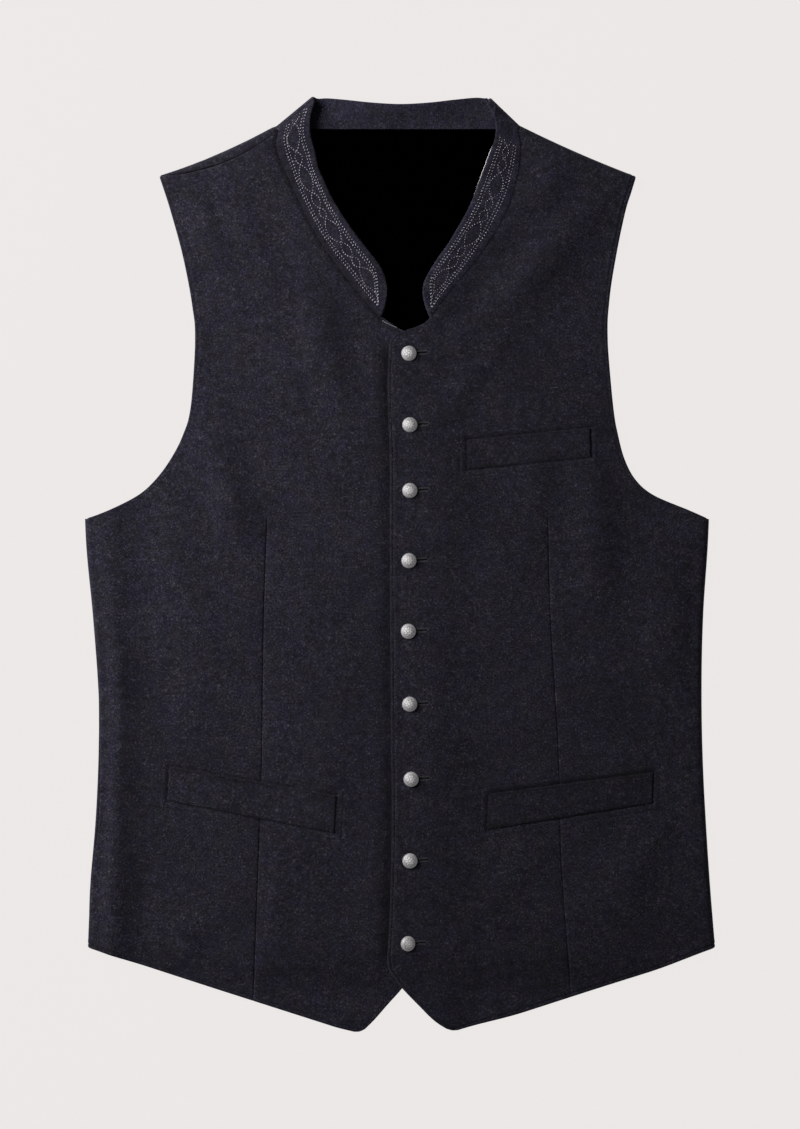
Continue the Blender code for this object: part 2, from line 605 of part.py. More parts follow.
def buttonhole_cutter(x, y):
    """An eyelet round the shank, drawn out to a slit that runs towards the wearer's left."""
    bpy.ops.mesh.primitive_cylinder_add(vertices=16, radius=EYELET_R * MM,
                                        depth=3 * FRONT_THICK * MM)
    hole = bpy.context.object
    hole.name = "buttonhole"
    for vert in hole.data.vertices:
        if vert.co.x > 0.99 * EYELET_R * MM:
            vert.co.x = SLIT_LENGTH * MM
    hole.location = (x * MM, y * MM, front_height("left", x, y) * MM)
    hole.hide_render = True
    hole.display_type = "WIRE"
    for owner in list(hole.users_collection):
        owner.objects.unlink(hole)
    cutters.objects.link(hole)


def main():
    for piece in list(bpy.data.objects):
        bpy.data.objects.remove(piece, do_unlink=True)
    for group in (vest, cutters):
        bpy.context.scene.collection.children.link(group)
    back()
    lining()
    _, right_surface = front("right")
    over, left_surface = front("left")
    collar()
    for name, (wearer, corners) in WELTS.items():
        welt(name, right_surface if wearer == "right" else left_surface, corners)
    mesh = button_mesh()
    for number, (x, y) in enumerate(BUTTONS, start=1):
        button(number, mesh, x, y)
        buttonhole_cutter(x, y)
    holes = over.modifiers.new("buttonholes", "BOOLEAN")
    holes.operation = "DIFFERENCE"
    holes.solver = "EXACT"
    holes.operand_type = "COLLECTION"
    holes.collection = cutters


vest = bpy.data.collections.new("embroidered_folk_vest")
cutters = bpy.data.collections.new("cutters")
main()
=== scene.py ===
"""Looks of the embroidered folk vest: fine cloth, stitching, embroidery, buttons and light.

Sizes are millimetres, as in the part's source, and become metres in placed(). +X is the
wearer's left, +Y the shoulders, +Z up from the surface it lies on.
"""
import json
from math import cos, hypot, pi, radians, sin

import bpy
import bmesh
import numpy as np
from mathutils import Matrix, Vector
from mathutils.bvhtree import BVHTree

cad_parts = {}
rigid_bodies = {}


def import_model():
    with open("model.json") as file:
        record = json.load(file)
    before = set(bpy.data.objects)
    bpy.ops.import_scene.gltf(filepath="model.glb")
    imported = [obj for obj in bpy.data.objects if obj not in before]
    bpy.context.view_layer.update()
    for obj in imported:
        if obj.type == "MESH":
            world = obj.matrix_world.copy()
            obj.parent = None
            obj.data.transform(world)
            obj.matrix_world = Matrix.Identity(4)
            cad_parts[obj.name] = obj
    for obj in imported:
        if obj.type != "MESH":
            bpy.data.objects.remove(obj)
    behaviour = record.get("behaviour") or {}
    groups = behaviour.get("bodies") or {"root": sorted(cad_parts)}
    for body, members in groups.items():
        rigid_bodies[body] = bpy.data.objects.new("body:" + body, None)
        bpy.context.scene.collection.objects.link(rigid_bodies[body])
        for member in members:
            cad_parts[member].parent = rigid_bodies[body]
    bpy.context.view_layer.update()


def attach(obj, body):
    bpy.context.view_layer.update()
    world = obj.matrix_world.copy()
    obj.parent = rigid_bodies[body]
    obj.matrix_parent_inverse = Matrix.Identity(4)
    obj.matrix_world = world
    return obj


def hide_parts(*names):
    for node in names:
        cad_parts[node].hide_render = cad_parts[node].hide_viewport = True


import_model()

MM = 0.001
PHOTO_MM = 0.78            # one pixel of the 800 by 1129 photograph
PHOTO_SIZE = (800, 1129)

# ---- sizes shared with the solids ----
FRONT_THICK = 2.8
BACK_THICK = 2.4
LINING_THICK = 1.0
COLLAR_THICK = 3.0
GAP = 0.3
SEAM_GAP = 0.1             # the looks close the solids' gap of 0.8
DART_DEPTH = 0.9
DART_GROOVE = {"right": 0.6, "left": 0.45}
DART_VALLEY = {"right": 0.85, "left": 0.6}
DART_GROOVE_WIDTH, DART_VALLEY_WIDTH = 0.62, 3.6
DART_TOP = 37.8
DART_END, DART_FADE = 6.0, 22.0        # its valley ends this far past the top, and fades so
BACK_MID = BACK_THICK / 2
FOLD_R = 3.0
FOLD_TOP = BACK_MID + 2 * FOLD_R
FLAT_MID = BACK_THICK + GAP + DART_DEPTH + FRONT_THICK / 2
HEM_MID = FRONT_THICK / 2
FOLD_FALL = 45.0
QUARTER = FOLD_R * pi / 2
HALF = 2 * QUARTER
OVERLAP_IN, OVERLAP_OUT = 20.5, 66.0   # a softer slope than in the solids
OVERLAP_RISE = FRONT_THICK + GAP + 0.4
NECK_POINT = (4.3, 181.3)
LINING_RISE = LINING_THICK + GAP + 0.1 - DART_DEPTH
HEM_DROP_TOP, HEM_DROP_LOW = -300.5, -335.0
COLLAR_FOLD_R = 3.1
COLLAR_LOW = COLLAR_THICK / 2
COLLAR_STEP = 0.6
BUTTON_R = 5.88            # the solid's is 6.6

# outlines: v runs from hem 0, top of the cutaway 1, underarm 2, neck 3 to shoulder 4; the left
# front's closure edge wanders up to 3 mm from the solid's straighter one, as photographed
# columns: v, x, y, corner
EDGES = {
    "right": (
        (0.00, -31.0, -366.0, 1), (0.15, -20.7, -356.0, 0), (0.35, -9.8, -343.6, 0),
        (0.60, 2.0, -330.3, 0), (1.00, 19.1, -306.9, 1), (2.00, 19.1, 34.7, 0),
        (3.00, 19.1, 174.3, 1), (3.12, -4.3, 184.9, 0), (3.20, -15.2, 191.1, 0),
        (3.30, -30.0, 209.0, 0), (3.45, -49.9, 234.9, 0), (3.60, -66.7, 260.9, 0),
        (3.75, -79.6, 286.7, 0), (3.90, -90.9, 312.4, 0), (4.00, -98.0, 339.7, 1)),
    "left": (
        (0.00, 40.5, -364.5, 1), (0.15, 27.7, -356.3, 0), (0.35, 15.2, -344.2, 0),
        (0.60, 2.3, -330.8, 0), (0.80, -4.3, -321.8, 0), (1.00, -9.8, -310.1, 0),
        (1.08, -9.0, -292.0, 0), (1.16, -7.7, -264.5, 0), (1.34, -6.4, -200.4, 0),
        (1.52, -6.8, -136.3, 0), (1.83, -7.6, -25.9, 0), (2.00, -7.9, 34.7, 0),
        (2.34, -7.9, 82.7, 0), (2.66, -9.6, 127.9, 0), (2.78, -9.6, 144.9, 0),
        (2.90, -8.9, 161.8, 0), (3.00, -7.4, 173.6, 0), (3.05, -2.7, 178.6, 0),
        (3.12, 5.1, 181.2, 0), (3.20, 23.8, 188.7, 0), (3.30, 40.2, 213.3, 0),
        (3.45, 56.3, 232.8, 0), (3.60, 72.9, 255.5, 0), (3.75, 85.8, 281.2, 0),
        (3.90, 92.9, 312.4, 0), (4.00, 94.0, 340.5, 1))}
SIDES = {
    "right": (
        (0.00, -243.0, -297.9, 1), (0.50, -241.4, -250.8, 0), (1.00, -237.5, -204.0, 0),
        (1.25, -235.2, -160.0, 0), (1.50, -234.8, -106.5, 0), (1.75, -239.1, -40.2, 0),
        (1.95, -244.5, 18.3, 0), (2.00, -245.3, 34.7, 1), (2.15, -226.6, 41.7, 0),
        (2.30, -204.0, 53.4, 0), (2.45, -190.7, 65.1, 0), (2.60, -179.0, 80.7, 0),
        (2.75, -168.9, 100.2, 0), (2.90, -162.6, 123.6, 0), (3.00, -159.5, 170.4, 0),
        (3.30, -161.8, 201.6, 0), (3.55, -168.9, 239.1, 0), (3.80, -179.0, 276.5, 0),
        (3.93, -184.5, 293.7, 0), (4.00, -186.8, 300.7, 1)),
    "left": (
        (0.00, 245.3, -297.9, 1), (0.50, 241.4, -250.8, 0), (1.00, 238.3, -204.0, 0),
        (1.25, 236.0, -160.0, 0), (1.50, 234.8, -106.5, 0), (1.75, 236.0, -40.2, 0),
        (1.95, 239.8, 18.3, 0), (2.00, 240.6, 34.7, 1), (2.15, 225.0, 41.7, 0),
        (2.30, 197.7, 53.4, 0), (2.45, 183.7, 65.1, 0), (2.60, 175.1, 80.7, 0),
        (2.75, 169.7, 100.2, 0), (2.90, 165.8, 123.6, 0), (3.00, 161.8, 170.4, 0),
        (3.30, 163.0, 205.5, 0), (3.55, 168.1, 239.1, 0), (3.80, 175.9, 276.5, 0),
        (3.93, 181.3, 293.2, 0), (4.00, 182.9, 300.2, 1))}
SHOULDERS = {
    "right": {"neck": (95.0, 342.5), "tip": (186.8, 302.5), "sag": 2.8, "shown": (4.5, 9.0, 1.2)},
    "left": {"neck": (92.4, 341.6), "tip": (182.9, 301.9), "sag": 1.4, "shown": (-1.2, -1.2, -1.2)}}
SHOULDER_LEAN = radians(24.0)
# cloth of the back that shows past the side fold, at the lower rows of SIDES
FOLD_SHOWN = {
    "right": (-0.4, 1.4, 3.2, 2.6, 0.6, -0.8, -0.8, -0.6),
    "left": (-0.6, -1.0, -1.0, -1.0, -1.0, -1.0, -1.0, -0.6)}
# side folds, columns: y, |x|, cloth that shows
FOLDS = {wearer: [(y, abs(x), shown) for (_, x, y, _), shown in zip(SIDES[wearer], row)]
         for wearer, row in FOLD_SHOWN.items()}
# darts, columns: y, x
DARTS = {
    "right": ((-338.9, -114.3), (-262.5, -111.2), (-168.9, -108.0), (-28.5, -105.7),
              (37.8, -103.4)),
    "left": ((-332.7, 133.0), (-223.5, 125.2), (-153.3, 123.6), (-28.5, 116.6), (37.8, 115.0))}
# soft ridges seen in the photograph, more of them and higher than the solids' creases;
# columns: x, y, direction in degrees, half length, half width, rise
CREASES = (
    (-225.0, -140.0, 91.0, 175.0, 13.0, 2.3),
    (-224.0, -262.0, 88.0, 34.0, 12.0, 1.3),
    (-137.0, 66.0, -74.0, 50.0, 14.0, 2.6),
    (-168.0, -20.0, -82.0, 70.0, 17.0, 1.2),
    (-150.0, 262.0, -64.0, 42.0, 10.0, 1.7),
    (-112.0, 240.0, -70.0, 40.0, 13.0, 1.0),
    (-58.0, 165.0, -78.0, 62.0, 12.0, 1.8),
    (-88.0, 150.0, -76.0, 40.0, 10.0, 0.8),
    (-97.0, -262.0, 88.0, 24.0, 8.0, 1.3),
    (-166.0, -292.0, -72.0, 20.0, 8.0, 1.0),
    (-60.0, -150.0, 86.0, 90.0, 18.0, 0.8),
    (78.0, 206.0, 47.0, 72.0, 13.0, 1.7),
    (55.0, 148.0, 47.0, 62.0, 10.0, 1.1),
    (118.0, 240.0, 50.0, 50.0, 12.0, 1.4),
    (113.0, 296.0, 62.0, 28.0, 12.0, 1.8),
    (-127.0, 270.0, -62.0, 26.0, 10.0, 1.1),
    (151.0, 26.0, -85.0, 76.0, 14.0, 1.9),
    (203.0, -50.0, 88.0, 60.0, 18.0, 1.5),
    (110.0, 60.0, 80.0, 55.0, 16.0, 0.9),
    (78.0, -254.0, 50.0, 36.0, 10.0, 0.7),
    (186.0, -230.0, 60.0, 45.0, 13.0, 1.0),
    (-72.0, 158.0, 82.0, 24.0, 8.0, 1.0))
CREASE_RISE, CREASE_WIDTH = 2.1, 1.2
CREASE_SIDE, CREASE_TOP = 3.0, 2.0     # how steeply creases rise beside the two folds

# collar sections from the front end up: base x, base y, free x, free y, rise of the free edge;
# at the shoulders they reach further out than the solid's, over the neck end of the shoulder
COLLAR = {
    "right": (
        (-14.6, 192.4, -9.7, 215.3, 1.6), (-20.2, 198.7, -11.0, 224.4, 2.0),
        (-29.4, 209.5, -14.4, 232.4, 2.6), (-39.6, 222.4, -20.8, 241.4, 3.0),
        (-49.3, 235.4, -29.1, 251.8, 3.2), (-58.3, 248.1, -37.4, 262.9, 3.4),
        (-66.1, 261.2, -44.2, 273.2, 3.4), (-72.6, 273.9, -51.5, 285.5, 3.2),
        (-79.0, 286.9, -57.3, 298.0, 2.8), (-84.8, 299.7, -62.0, 309.3, 2.4),
        (-90.6, 312.5, -64.4, 321.0, 2.2), (-94.0, 322.7, -67.6, 333.0, 2.4),
        (-95.0, 330.0, -68.4, 346.6, 2.8), (-94.2, 336.4, -66.0, 359.4, 2.6)),
    "back": (
        (-77.6, 336.9, -63.8, 362.6, 0.6), (-62.0, 336.9, -56.4, 363.3, 0.6),
        (-42.5, 336.9, -41.7, 361.8, 3.5), (-21.4, 336.9, -21.4, 359.3, 6.6),
        (0.4, 336.9, 0.4, 358.0, 7.8), (22.2, 336.9, 22.2, 359.3, 6.6),
        (43.3, 336.9, 42.5, 362.0, 3.4), (62.8, 336.9, 58.6, 363.8, 0.6),
        (77.6, 336.9, 67.0, 362.9, 0.6)),
    "left": (
        (91.2, 336.6, 67.3, 357.7, 1.6), (92.6, 330.6, 72.9, 345.9, 1.6),
        (92.8, 323.0, 72.0, 331.0, 1.6), (92.0, 312.4, 67.4, 317.6, 1.8),
        (89.8, 299.5, 62.8, 305.0, 2.0), (84.7, 281.4, 58.5, 293.7, 2.6),
        (79.7, 270.1, 54.6, 283.5, 3.0), (72.0, 255.9, 49.1, 271.8, 3.3),
        (61.9, 241.8, 41.0, 257.8, 3.4), (55.4, 233.2, 35.5, 248.8, 3.3),
        (47.4, 223.5, 28.8, 239.5, 3.0), (39.2, 213.7, 21.8, 228.5, 2.5),
        (30.6, 202.8, 17.7, 220.0, 2.0), (23.2, 192.0, 16.9, 212.6, 1.6))}
# black lining, columns: y, right x, left x
LINING = (
    (338.6, -84.0, 82.8), (312.4, -75.0, 75.8), (274.2, -56.6, 60.8), (235.2, -35.0, 40.4),
    (205.5, -19.5, 26.0), (182.1, -14.0, 22.5), (165.0, -9.0, 18.0))
WELTS = {
    "welt_right": ("right", ((-179.0, -157.5), (-49.5, -180.1), (-51.1, -209.3), (-180.6, -184.3))),
    "welt_left": ("left", ((69.0, -179.1), (197.0, -162.2), (196.2, -186.1), (68.2, -206.8))),
    "welt_chest": ("left", ((52.1, 96.3), (148.0, 105.8), (148.4, 82.9), (52.5, 73.3)))}
BUTTONS = (
    (6.6, 164.4), (7.3, 108.7), (7.3, 57.4), (6.6, 2.6), (6.2, -52.5), (7.2, -109.4),
    (8.3, -168.0), (7.4, -231.7), (5.3, -296.3))
# the heads stand nearer the camera than the plane these were read on, so they shrink to it
HEADS_SHRINK, HEADS_RIGHT = 0.9945, 0.35
BUTTON_PLACES = [(x * HEADS_SHRINK + HEADS_RIGHT, y * HEADS_SHRINK) for x, y in BUTTONS]

# ---- fine detail, only in the looks ----
CLOTH_STEP = 2.6           # spacing of the cloth's points
TOPSTITCH_IN = 2.9         # from an edge to its row of stitches
# the hem's swell below a straight line: depth, and its easing at the closure and the side
HEM_BOW = {"right": (1.2, 22.0, 120.0), "left": (3.0, 60.0, 55.0)}
SEAM_ALLOWANCE = 3.0       # a front's cloth that runs on under the collar
SEAM_POINTS = 70           # of the collar's seam, for distances from it
LINING_NEAR, LINING_FADE = 24.0, 34.0  # round the neck point the fronts lie on the lining
CLOSURE_MIDDLE, CLOSURE_PLAIN, CLOSURE_EASE = 5.0, 24.0, 20.0   # a strip without creases
COLLAR_BANK, BANK_WIDTH = 2.0, 13.0    # the left front falls away from the collar
CLOSURE_DIP, DIP_FROM, DIP_TO = 1.15, -21.0, -8.5   # the right one towards the closure
LAP_EDGE, LAP_EASE = 19.0, 14.0        # it comes back up towards its hidden edge
DIP_END, DIP_EASE = 4.0, 18.0          # and towards this far below the neck point
HOLLOW_DEPTH, HOLLOW_WIDTH = 1.1, 4.2  # the hollow just before the closure edge
HOLLOW_PAST = 0.8                      # is deepest this far under that edge
CLOSURE_ENDS = (-312.0, 172.0)         # y between which the closure is hollow and shaded
CLOSURE_EASES = (10.0, 8.0)            # in which both come in at those ends
SHADE_REACH, ROLL_REACH = 15.0, 1.1    # of the painted shade beside the closure edge, and on its roll
# painted shade beside and on the closure edge; columns: y, on the under front, on the edge's roll
CLOSURE_SHADE = ((-300.0, 0.50, 0.50), (-220.0, 0.42, 0.46), (-150.0, 0.20, 0.32),
                 (-30.0, 0.06, 0.30), (20.0, 0.0, 0.16), (80.0, 0.24, 0.36), (140.0, 0.44, 0.50))
# a tone for each front as photographed; why the left one is darker isn't known
PANEL_TONE = {"right": 1.0, "left": 0.91}


# ================= curves and heights =================
def smooth(value):
    """Ease from 0 to 1 with level ends."""
    t = np.clip(value, 0.0, 1.0)
    return t * t * (3 - 2 * t)


def edge_point(rows, v):
    """Point at v on an outline: a Hermite curve through its rows, free to turn at a corner."""
    last = len(rows) - 2
    k = min(max(sum(1 for row in rows if row[0] <= v) - 1, 0), last)
    a, b = rows[k], rows[k + 1]
    span = b[0] - a[0]
    t = (v - a[0]) / span
    point = []
    for axis in (1, 2):
        chord = (b[axis] - a[axis]) / span
        before, after = rows[max(k - 1, 0)], rows[min(k + 2, last + 1)]
        start = chord if a[3] or k == 0 else (b[axis] - before[axis]) / (b[0] - before[0])
        end = chord if b[3] or k == last else (after[axis] - a[axis]) / (after[0] - a[0])
        h = t * t * (3 - 2 * t)
        point.append(a[axis] * (1 - h) + b[axis] * h
                     + span * (t * (1 - t) ** 2 * start - t * t * (1 - t) * end))
    return np.array(point)


def column(rows, at, index):
    """A smooth reading of a table's column where its first column equals at."""
    first = np.array([row[0] for row in rows])
    values = np.array([row[index] for row in rows])
    slopes = np.gradient(values, first)
    at = np.clip(at, first[0], first[-1])
    k = np.clip(np.searchsorted(first, at, side="right") - 1, 0, len(first) - 2)
    span = first[k + 1] - first[k]
    t = (at - first[k]) / span
    h = t * t * (3 - 2 * t)
    return (values[k] * (1 - h) + values[k + 1] * h
            + span * (t * (1 - t) ** 2 * slopes[k] - t * t * (1 - t) * slopes[k + 1]))


def side_tangent(wearer, y):
    """|x| where the cloth starts to turn round the side fold."""
    return column(FOLDS[wearer], y, 1) - FOLD_R - FRONT_THICK / 2


def along_shoulder(wearer, x):
    """0 at the neck end of a shoulder line and 1 at its tip."""
    shape = SHOULDERS[wearer]
    return (np.abs(x) - shape["neck"][0]) / (shape["tip"][0] - shape["neck"][0])


def shoulder_y(wearer, x):
    """y of the shoulder's top line, which sags a little between its ends."""
    shape = SHOULDERS[wearer]
    t = along_shoulder(wearer, x)
    inside = np.clip(t, 0.0, 1.0)
    drop = shape["neck"][1] - shape["tip"][1]
    return shape["neck"][1] - drop * t - 4 * shape["sag"] * inside * (1 - inside)


def shoulder_shown(wearer, x):
    """Cloth of the back that shows past the shoulder fold: a parabola through three values."""
    neck, middle, tip = SHOULDERS[wearer]["shown"]
    t = np.clip(along_shoulder(wearer, x), 0.0, 1.0)
    return neck + (4 * middle - 3 * neck - tip) * t + (2 * neck + 2 * tip - 4 * middle) * t * t


def shoulder_over(wearer, x, y):
    """Distance beyond the line where the cloth starts to turn round the shoulder fold."""
    return (y - shoulder_y(wearer, x)) * cos(SHOULDER_LEAN) + FOLD_R + FRONT_THICK / 2


def lean(wearer):
    """Direction in which the cloth runs over the shoulder fold."""
    return np.array(((-1 if wearer == "right" else 1) * sin(SHOULDER_LEAN), cos(SHOULDER_LEAN)))


def crease_height(x, y):
    """Rise of all the creases at a place."""
    total = 0.0
    for cx, cy, angle, length, width, rise in CREASES:
        ca, sa = cos(radians(angle)), sin(radians(angle))
        along = (x - cx) * ca + (y - cy) * sa
        across = (y - cy) * ca - (x - cx) * sa
        shape = np.exp(-(along / length) ** 2 - (across / (width * CREASE_WIDTH)) ** 2)
        total = total + CREASE_RISE * rise * shape
    return total


def dart_distance(wearer, x, y):
    """Signed distance from a front's dart along x."""
    return x - column(DARTS[wearer], y, 1)


def on_dart(y):
    """1 along a dart, easing to 0 past its top."""
    return smooth((DART_TOP + DART_END - y) / DART_FADE)


def dart_groove(wearer, x, y):
    """Narrow sewn line at the bottom of a dart's valley, in the right side alone."""
    line = np.exp(-(dart_distance(wearer, x, y) / DART_GROOVE_WIDTH) ** 2)
    return -DART_GROOVE[wearer] * line * on_dart(y)


def collar_distance(wearer, x, y):
    """Distance from the seam between the collar and a front."""
    seam = collar_rows(wearer, SEAM_POINTS)[:, 0:2]
    x, y = np.broadcast_arrays(np.asarray(x, dtype=float), np.asarray(y, dtype=float))
    least = np.full(x.shape, 1e9)
    for seam_x, seam_y in seam:
        least = np.minimum(least, np.hypot(x - seam_x, y - seam_y))
    return least


def front_height(wearer, x, y, darts=True):
    """Height of a front's middle surface before its fold turns down.

    The solids' rule, with the valleys at darts and collar that the photograph shades.
    """
    from_side = (side_tangent(wearer, y) - np.abs(x)) / FOLD_FALL
    from_shoulder = -shoulder_over(wearer, x, y) / FOLD_FALL
    off_folds = smooth(from_side) * smooth(from_shoulder)
    z = FOLD_TOP + (FLAT_MID - FOLD_TOP) * off_folds
    from_neck = np.hypot(x - NECK_POINT[0], y - NECK_POINT[1])
    z = z + LINING_RISE * (1 - smooth((from_neck - LINING_NEAR) / LINING_FADE))
    on_back = 1 - smooth((HEM_DROP_TOP - y) / (HEM_DROP_TOP - HEM_DROP_LOW))
    z = z - (FLAT_MID - HEM_MID) * (1 - on_back)
    if wearer == "left":
        z = z + OVERLAP_RISE * (1 - smooth((x - OVERLAP_IN) / (OVERLAP_OUT - OVERLAP_IN)))
    else:
        z = z + closure_dip(x, y) * on_back
    from_edge = smooth((np.abs(x - CLOSURE_MIDDLE) - CLOSURE_PLAIN) / CLOSURE_EASE)
    near_fold = smooth(from_side * CREASE_SIDE) * smooth(from_shoulder * CREASE_TOP)
    z = z + crease_height(x, y) * near_fold * on_back * from_edge
    if wearer == "left":
        from_collar = collar_distance(wearer, x, y)
        z = z + COLLAR_BANK * np.exp(-(from_collar / BANK_WIDTH) ** 2) * off_folds
    if darts:
        valley = np.exp(-np.abs(dart_distance(wearer, x, y)) / DART_VALLEY_WIDTH)
        z = z - DART_VALLEY[wearer] * valley * on_dart(y) * on_back
    return z


def closure_dip(x, y):
    """The right front falls away, ever more steeply, towards the edge that lies over it."""
    part = np.clip((x - DIP_FROM) / (DIP_TO - DIP_FROM), 0.0, 1.0)
    back_up = smooth((LAP_EDGE - x) / LAP_EASE) * smooth((NECK_POINT[1] - DIP_END - y) / DIP_EASE)
    return -CLOSURE_DIP * part ** 2 * back_up


def past_closure(x, y):
    """How far a place lies beyond the left front's closure edge, and 1 where that runs."""
    line = np.array([edge_point(EDGES["left"], v) for v in np.linspace(1.0, 2.95, 160)])
    (low, high), (low_ease, high_ease) = CLOSURE_ENDS, CLOSURE_EASES
    ends = smooth((y - low) / low_ease) * smooth((high - y) / high_ease)
    return x - np.interp(y, line[:, 1], line[:, 0]), ends


def closure_hollow(x, y):
    """The under front's right side sinks in the last few millimetres before that edge."""
    past, ends = past_closure(x, y)
    return -HOLLOW_DEPTH * smooth((past + HOLLOW_WIDTH) / (HOLLOW_WIDTH + HOLLOW_PAST)) * ends


def front_shade(wearer, x, y, closure):
    """Painted shade on a front beside the collar's seam and at the closure."""
    depth, width = COLLAR_SHADE[wearer]
    total = 1 - depth * np.exp(-(collar_distance(wearer, x, y) / width) ** 2)
    total = total * PANEL_TONE[wearer]
    heights, beside, on_roll = (np.array(part) for part in zip(*CLOSURE_SHADE))
    past, ends = past_closure(x, y)
    if wearer == "right":
        near = smooth((past + SHADE_REACH) / SHADE_REACH)
        return total * (1 - np.interp(y, heights, beside) * near * ends)
    near = np.exp(-(closure / ROLL_REACH) ** 2)
    return total * (1 - np.interp(y, heights, on_roll) * near * ends)


def past_folds(wearer, x, y):
    """Length of flat cloth that runs on past the side fold, and past the shoulder's."""
    past_side = np.maximum(np.abs(x) - side_tangent(wearer, y), 0.0)
    return past_side, np.maximum(shoulder_over(wearer, x, y), 0.0) * (past_side <= 0)


def turned_front(wearer, x, y, height):
    """Fold a front's flat points, with their heights, down at the side and the shoulder."""
    sign = -1 if wearer == "right" else 1
    past_side, past_top = past_folds(wearer, x, y)
    direction = lean(wearer)
    base = height(x - sign * past_side - direction[0] * past_top, y - direction[1] * past_top)
    side_angle, top_angle = past_side / FOLD_R, past_top / FOLD_R
    x = x + sign * (FOLD_R * np.sin(side_angle) - past_side)
    shift = FOLD_R * np.sin(top_angle) - past_top
    z = base - FOLD_R * (2 - np.cos(side_angle) - np.cos(top_angle))
    return np.stack((x + direction[0] * shift, y + direction[1] * shift, z), axis=-1)


def turned_back(x, y):
    """Fold the back's flat points up at the sides and shoulders and on over the fronts."""
    out = np.empty(x.shape + (3,))
    for wearer, sign, mine in (("right", -1, x < 0), ("left", 1, x >= 0)):
        px, py = x[mine], y[mine]
        past_side, past_top = past_folds(wearer, px, py)
        past = past_side + past_top
        to_side = (past_side > 0)[:, None]
        direction = np.where(to_side, np.array((float(sign), 0.0)), lean(wearer))
        line = np.stack((px, py), axis=-1) - direction * past[:, None]
        angle = np.minimum(past / FOLD_R, pi)
        beyond = np.maximum(past - HALF, 0.0)
        place = line + direction * (FOLD_R * np.sin(angle) - beyond)[:, None]
        top = front_height(wearer, place[:, 0], place[:, 1])
        z = BACK_MID + FOLD_R * (1 - np.cos(angle))
        z = np.where(beyond > 0, top, z + (top - FOLD_TOP) * angle / pi)
        out[mine] = np.column_stack((place, z))
    return out


# ================= grids turned into cloth =================
# radius of the rolled edges
FRONT_ROLL, BACK_ROLL, THIN_ROLL, COLLAR_ROLL = 1.3, 1.1, 0.5, 1.4
THIN_EDGE = 0.22           # share of the thickness that is left at a rolled edge's rim


def unit_rows(vectors):
    """The same vectors, each of length 1."""
    return vectors / np.maximum(np.linalg.norm(vectors, axis=-1, keepdims=True), 1e-9)


def grid_normals(points):
    """Normals of a grid of points, rows by columns, pointing to the cloth's right side."""
    across = np.gradient(points, axis=1)
    up = np.gradient(points, axis=0)
    return unit_rows(np.cross(across, up))


def rim_distance(points):
    """Distance of each grid point from the nearest edge of its sheet, along its row or column."""
    def run(axis):
        steps = np.linalg.norm(np.diff(points, axis=axis), axis=-1)
        ahead = np.cumsum(steps, axis=axis)
        zero = np.zeros_like(np.take(ahead, [0], axis=axis))
        ahead = np.concatenate((zero, ahead), axis=axis)
        whole = np.take(ahead, [-1], axis=axis)
        return ahead, whole - ahead
    first, last = run(0)
    start, end = run(1)
    return first, last, start, end


def rounded(distance, radius):
    """Share of the full thickness at a distance from a rolled edge."""
    inside = np.clip(distance / radius, 0.0, 1.0)
    return THIN_EDGE + (1 - THIN_EDGE) * np.sqrt(1 - (1 - inside) ** 2)


def grid_quads(rows, columns):
    """The numbers of a grid's points, and its quads."""
    index = np.arange(rows * columns).reshape(rows, columns)
    return index, np.stack((index[:-1, :-1].ravel(), index[:-1, 1:].ravel(),
                            index[1:, 1:].ravel(), index[1:, :-1].ravel()), axis=1)


def placed(name, verts, faces, collection=None):
    """A smooth object from points in mm and faces, in the scene or in one collection."""
    mesh = bpy.data.meshes.new(name)
    mesh.from_pydata((np.asarray(verts) * MM).tolist(), [], faces)
    mesh.update()
    mesh.shade_smooth()
    piece = bpy.data.objects.new(name, mesh)
    (collection or bpy.context.scene.collection).objects.link(piece)
    return piece


def mark_points(piece, name, values):
    """Give each point a value that a material reads by name."""
    piece.data.attributes.new(name, "FLOAT", "POINT").data.foreach_set("value", values)


def shell(name, points, thick, roll, relief=None, shade=None):
    """Closed cloth on a grid of middle-surface points in mm, with rolled edges.

    relief, in mm, lowers or lifts its right side alone; shade, painted shade multiplied into the
    colour, is below 1 where a seam keeps the light out. Returns the piece and its right side.
    """
    if grid_normals(points)[..., 2].mean() < 0:
        points = points[:, ::-1]
        relief = None if relief is None else relief[:, ::-1]
        shade = None if shade is None else shade[:, ::-1]
    rows, columns = points.shape[:2]
    normals = grid_normals(points)
    share = np.ones((rows, columns))
    for distance in rim_distance(points):
        share = np.minimum(share, rounded(distance, roll))
    half = 0.5 * thick * share[..., None]
    right_side = points + normals * half
    if relief is not None:
        right_side = right_side + normals * relief[..., None]
    wrong_side = points - normals * half
    count = rows * columns
    verts = np.concatenate((right_side.reshape(-1, 3), wrong_side.reshape(-1, 3)))
    index, quads = grid_quads(rows, columns)
    loop = np.concatenate((index[0, :], index[1:, -1], index[-1, -2::-1], index[-2:0:-1, 0]))
    after = np.roll(loop, -1)
    rim = np.stack((loop, loop + count, after + count, after), axis=1)
    faces = np.concatenate((quads, quads[:, (0, 3, 2, 1)] + count, rim))
    piece = placed(name, verts, faces.tolist())
    # painted shade: the right side carries the values that darken or lighten the cloth's colour,
    # the wrong side stays 1
    depth = np.ones(2 * count)
    if shade is not None:
        depth[:count] = shade.ravel()
    mark_points(piece, "shade", depth)
    return piece, right_side


RAY_FROM = 60.0            # well above everything


def surface_of(grid):
    """A tree of a grid's surface, for what lies on it."""
    _, quads = grid_quads(*grid.shape[:2])
    return BVHTree.FromPolygons(grid.reshape(-1, 3).tolist(), quads.tolist())


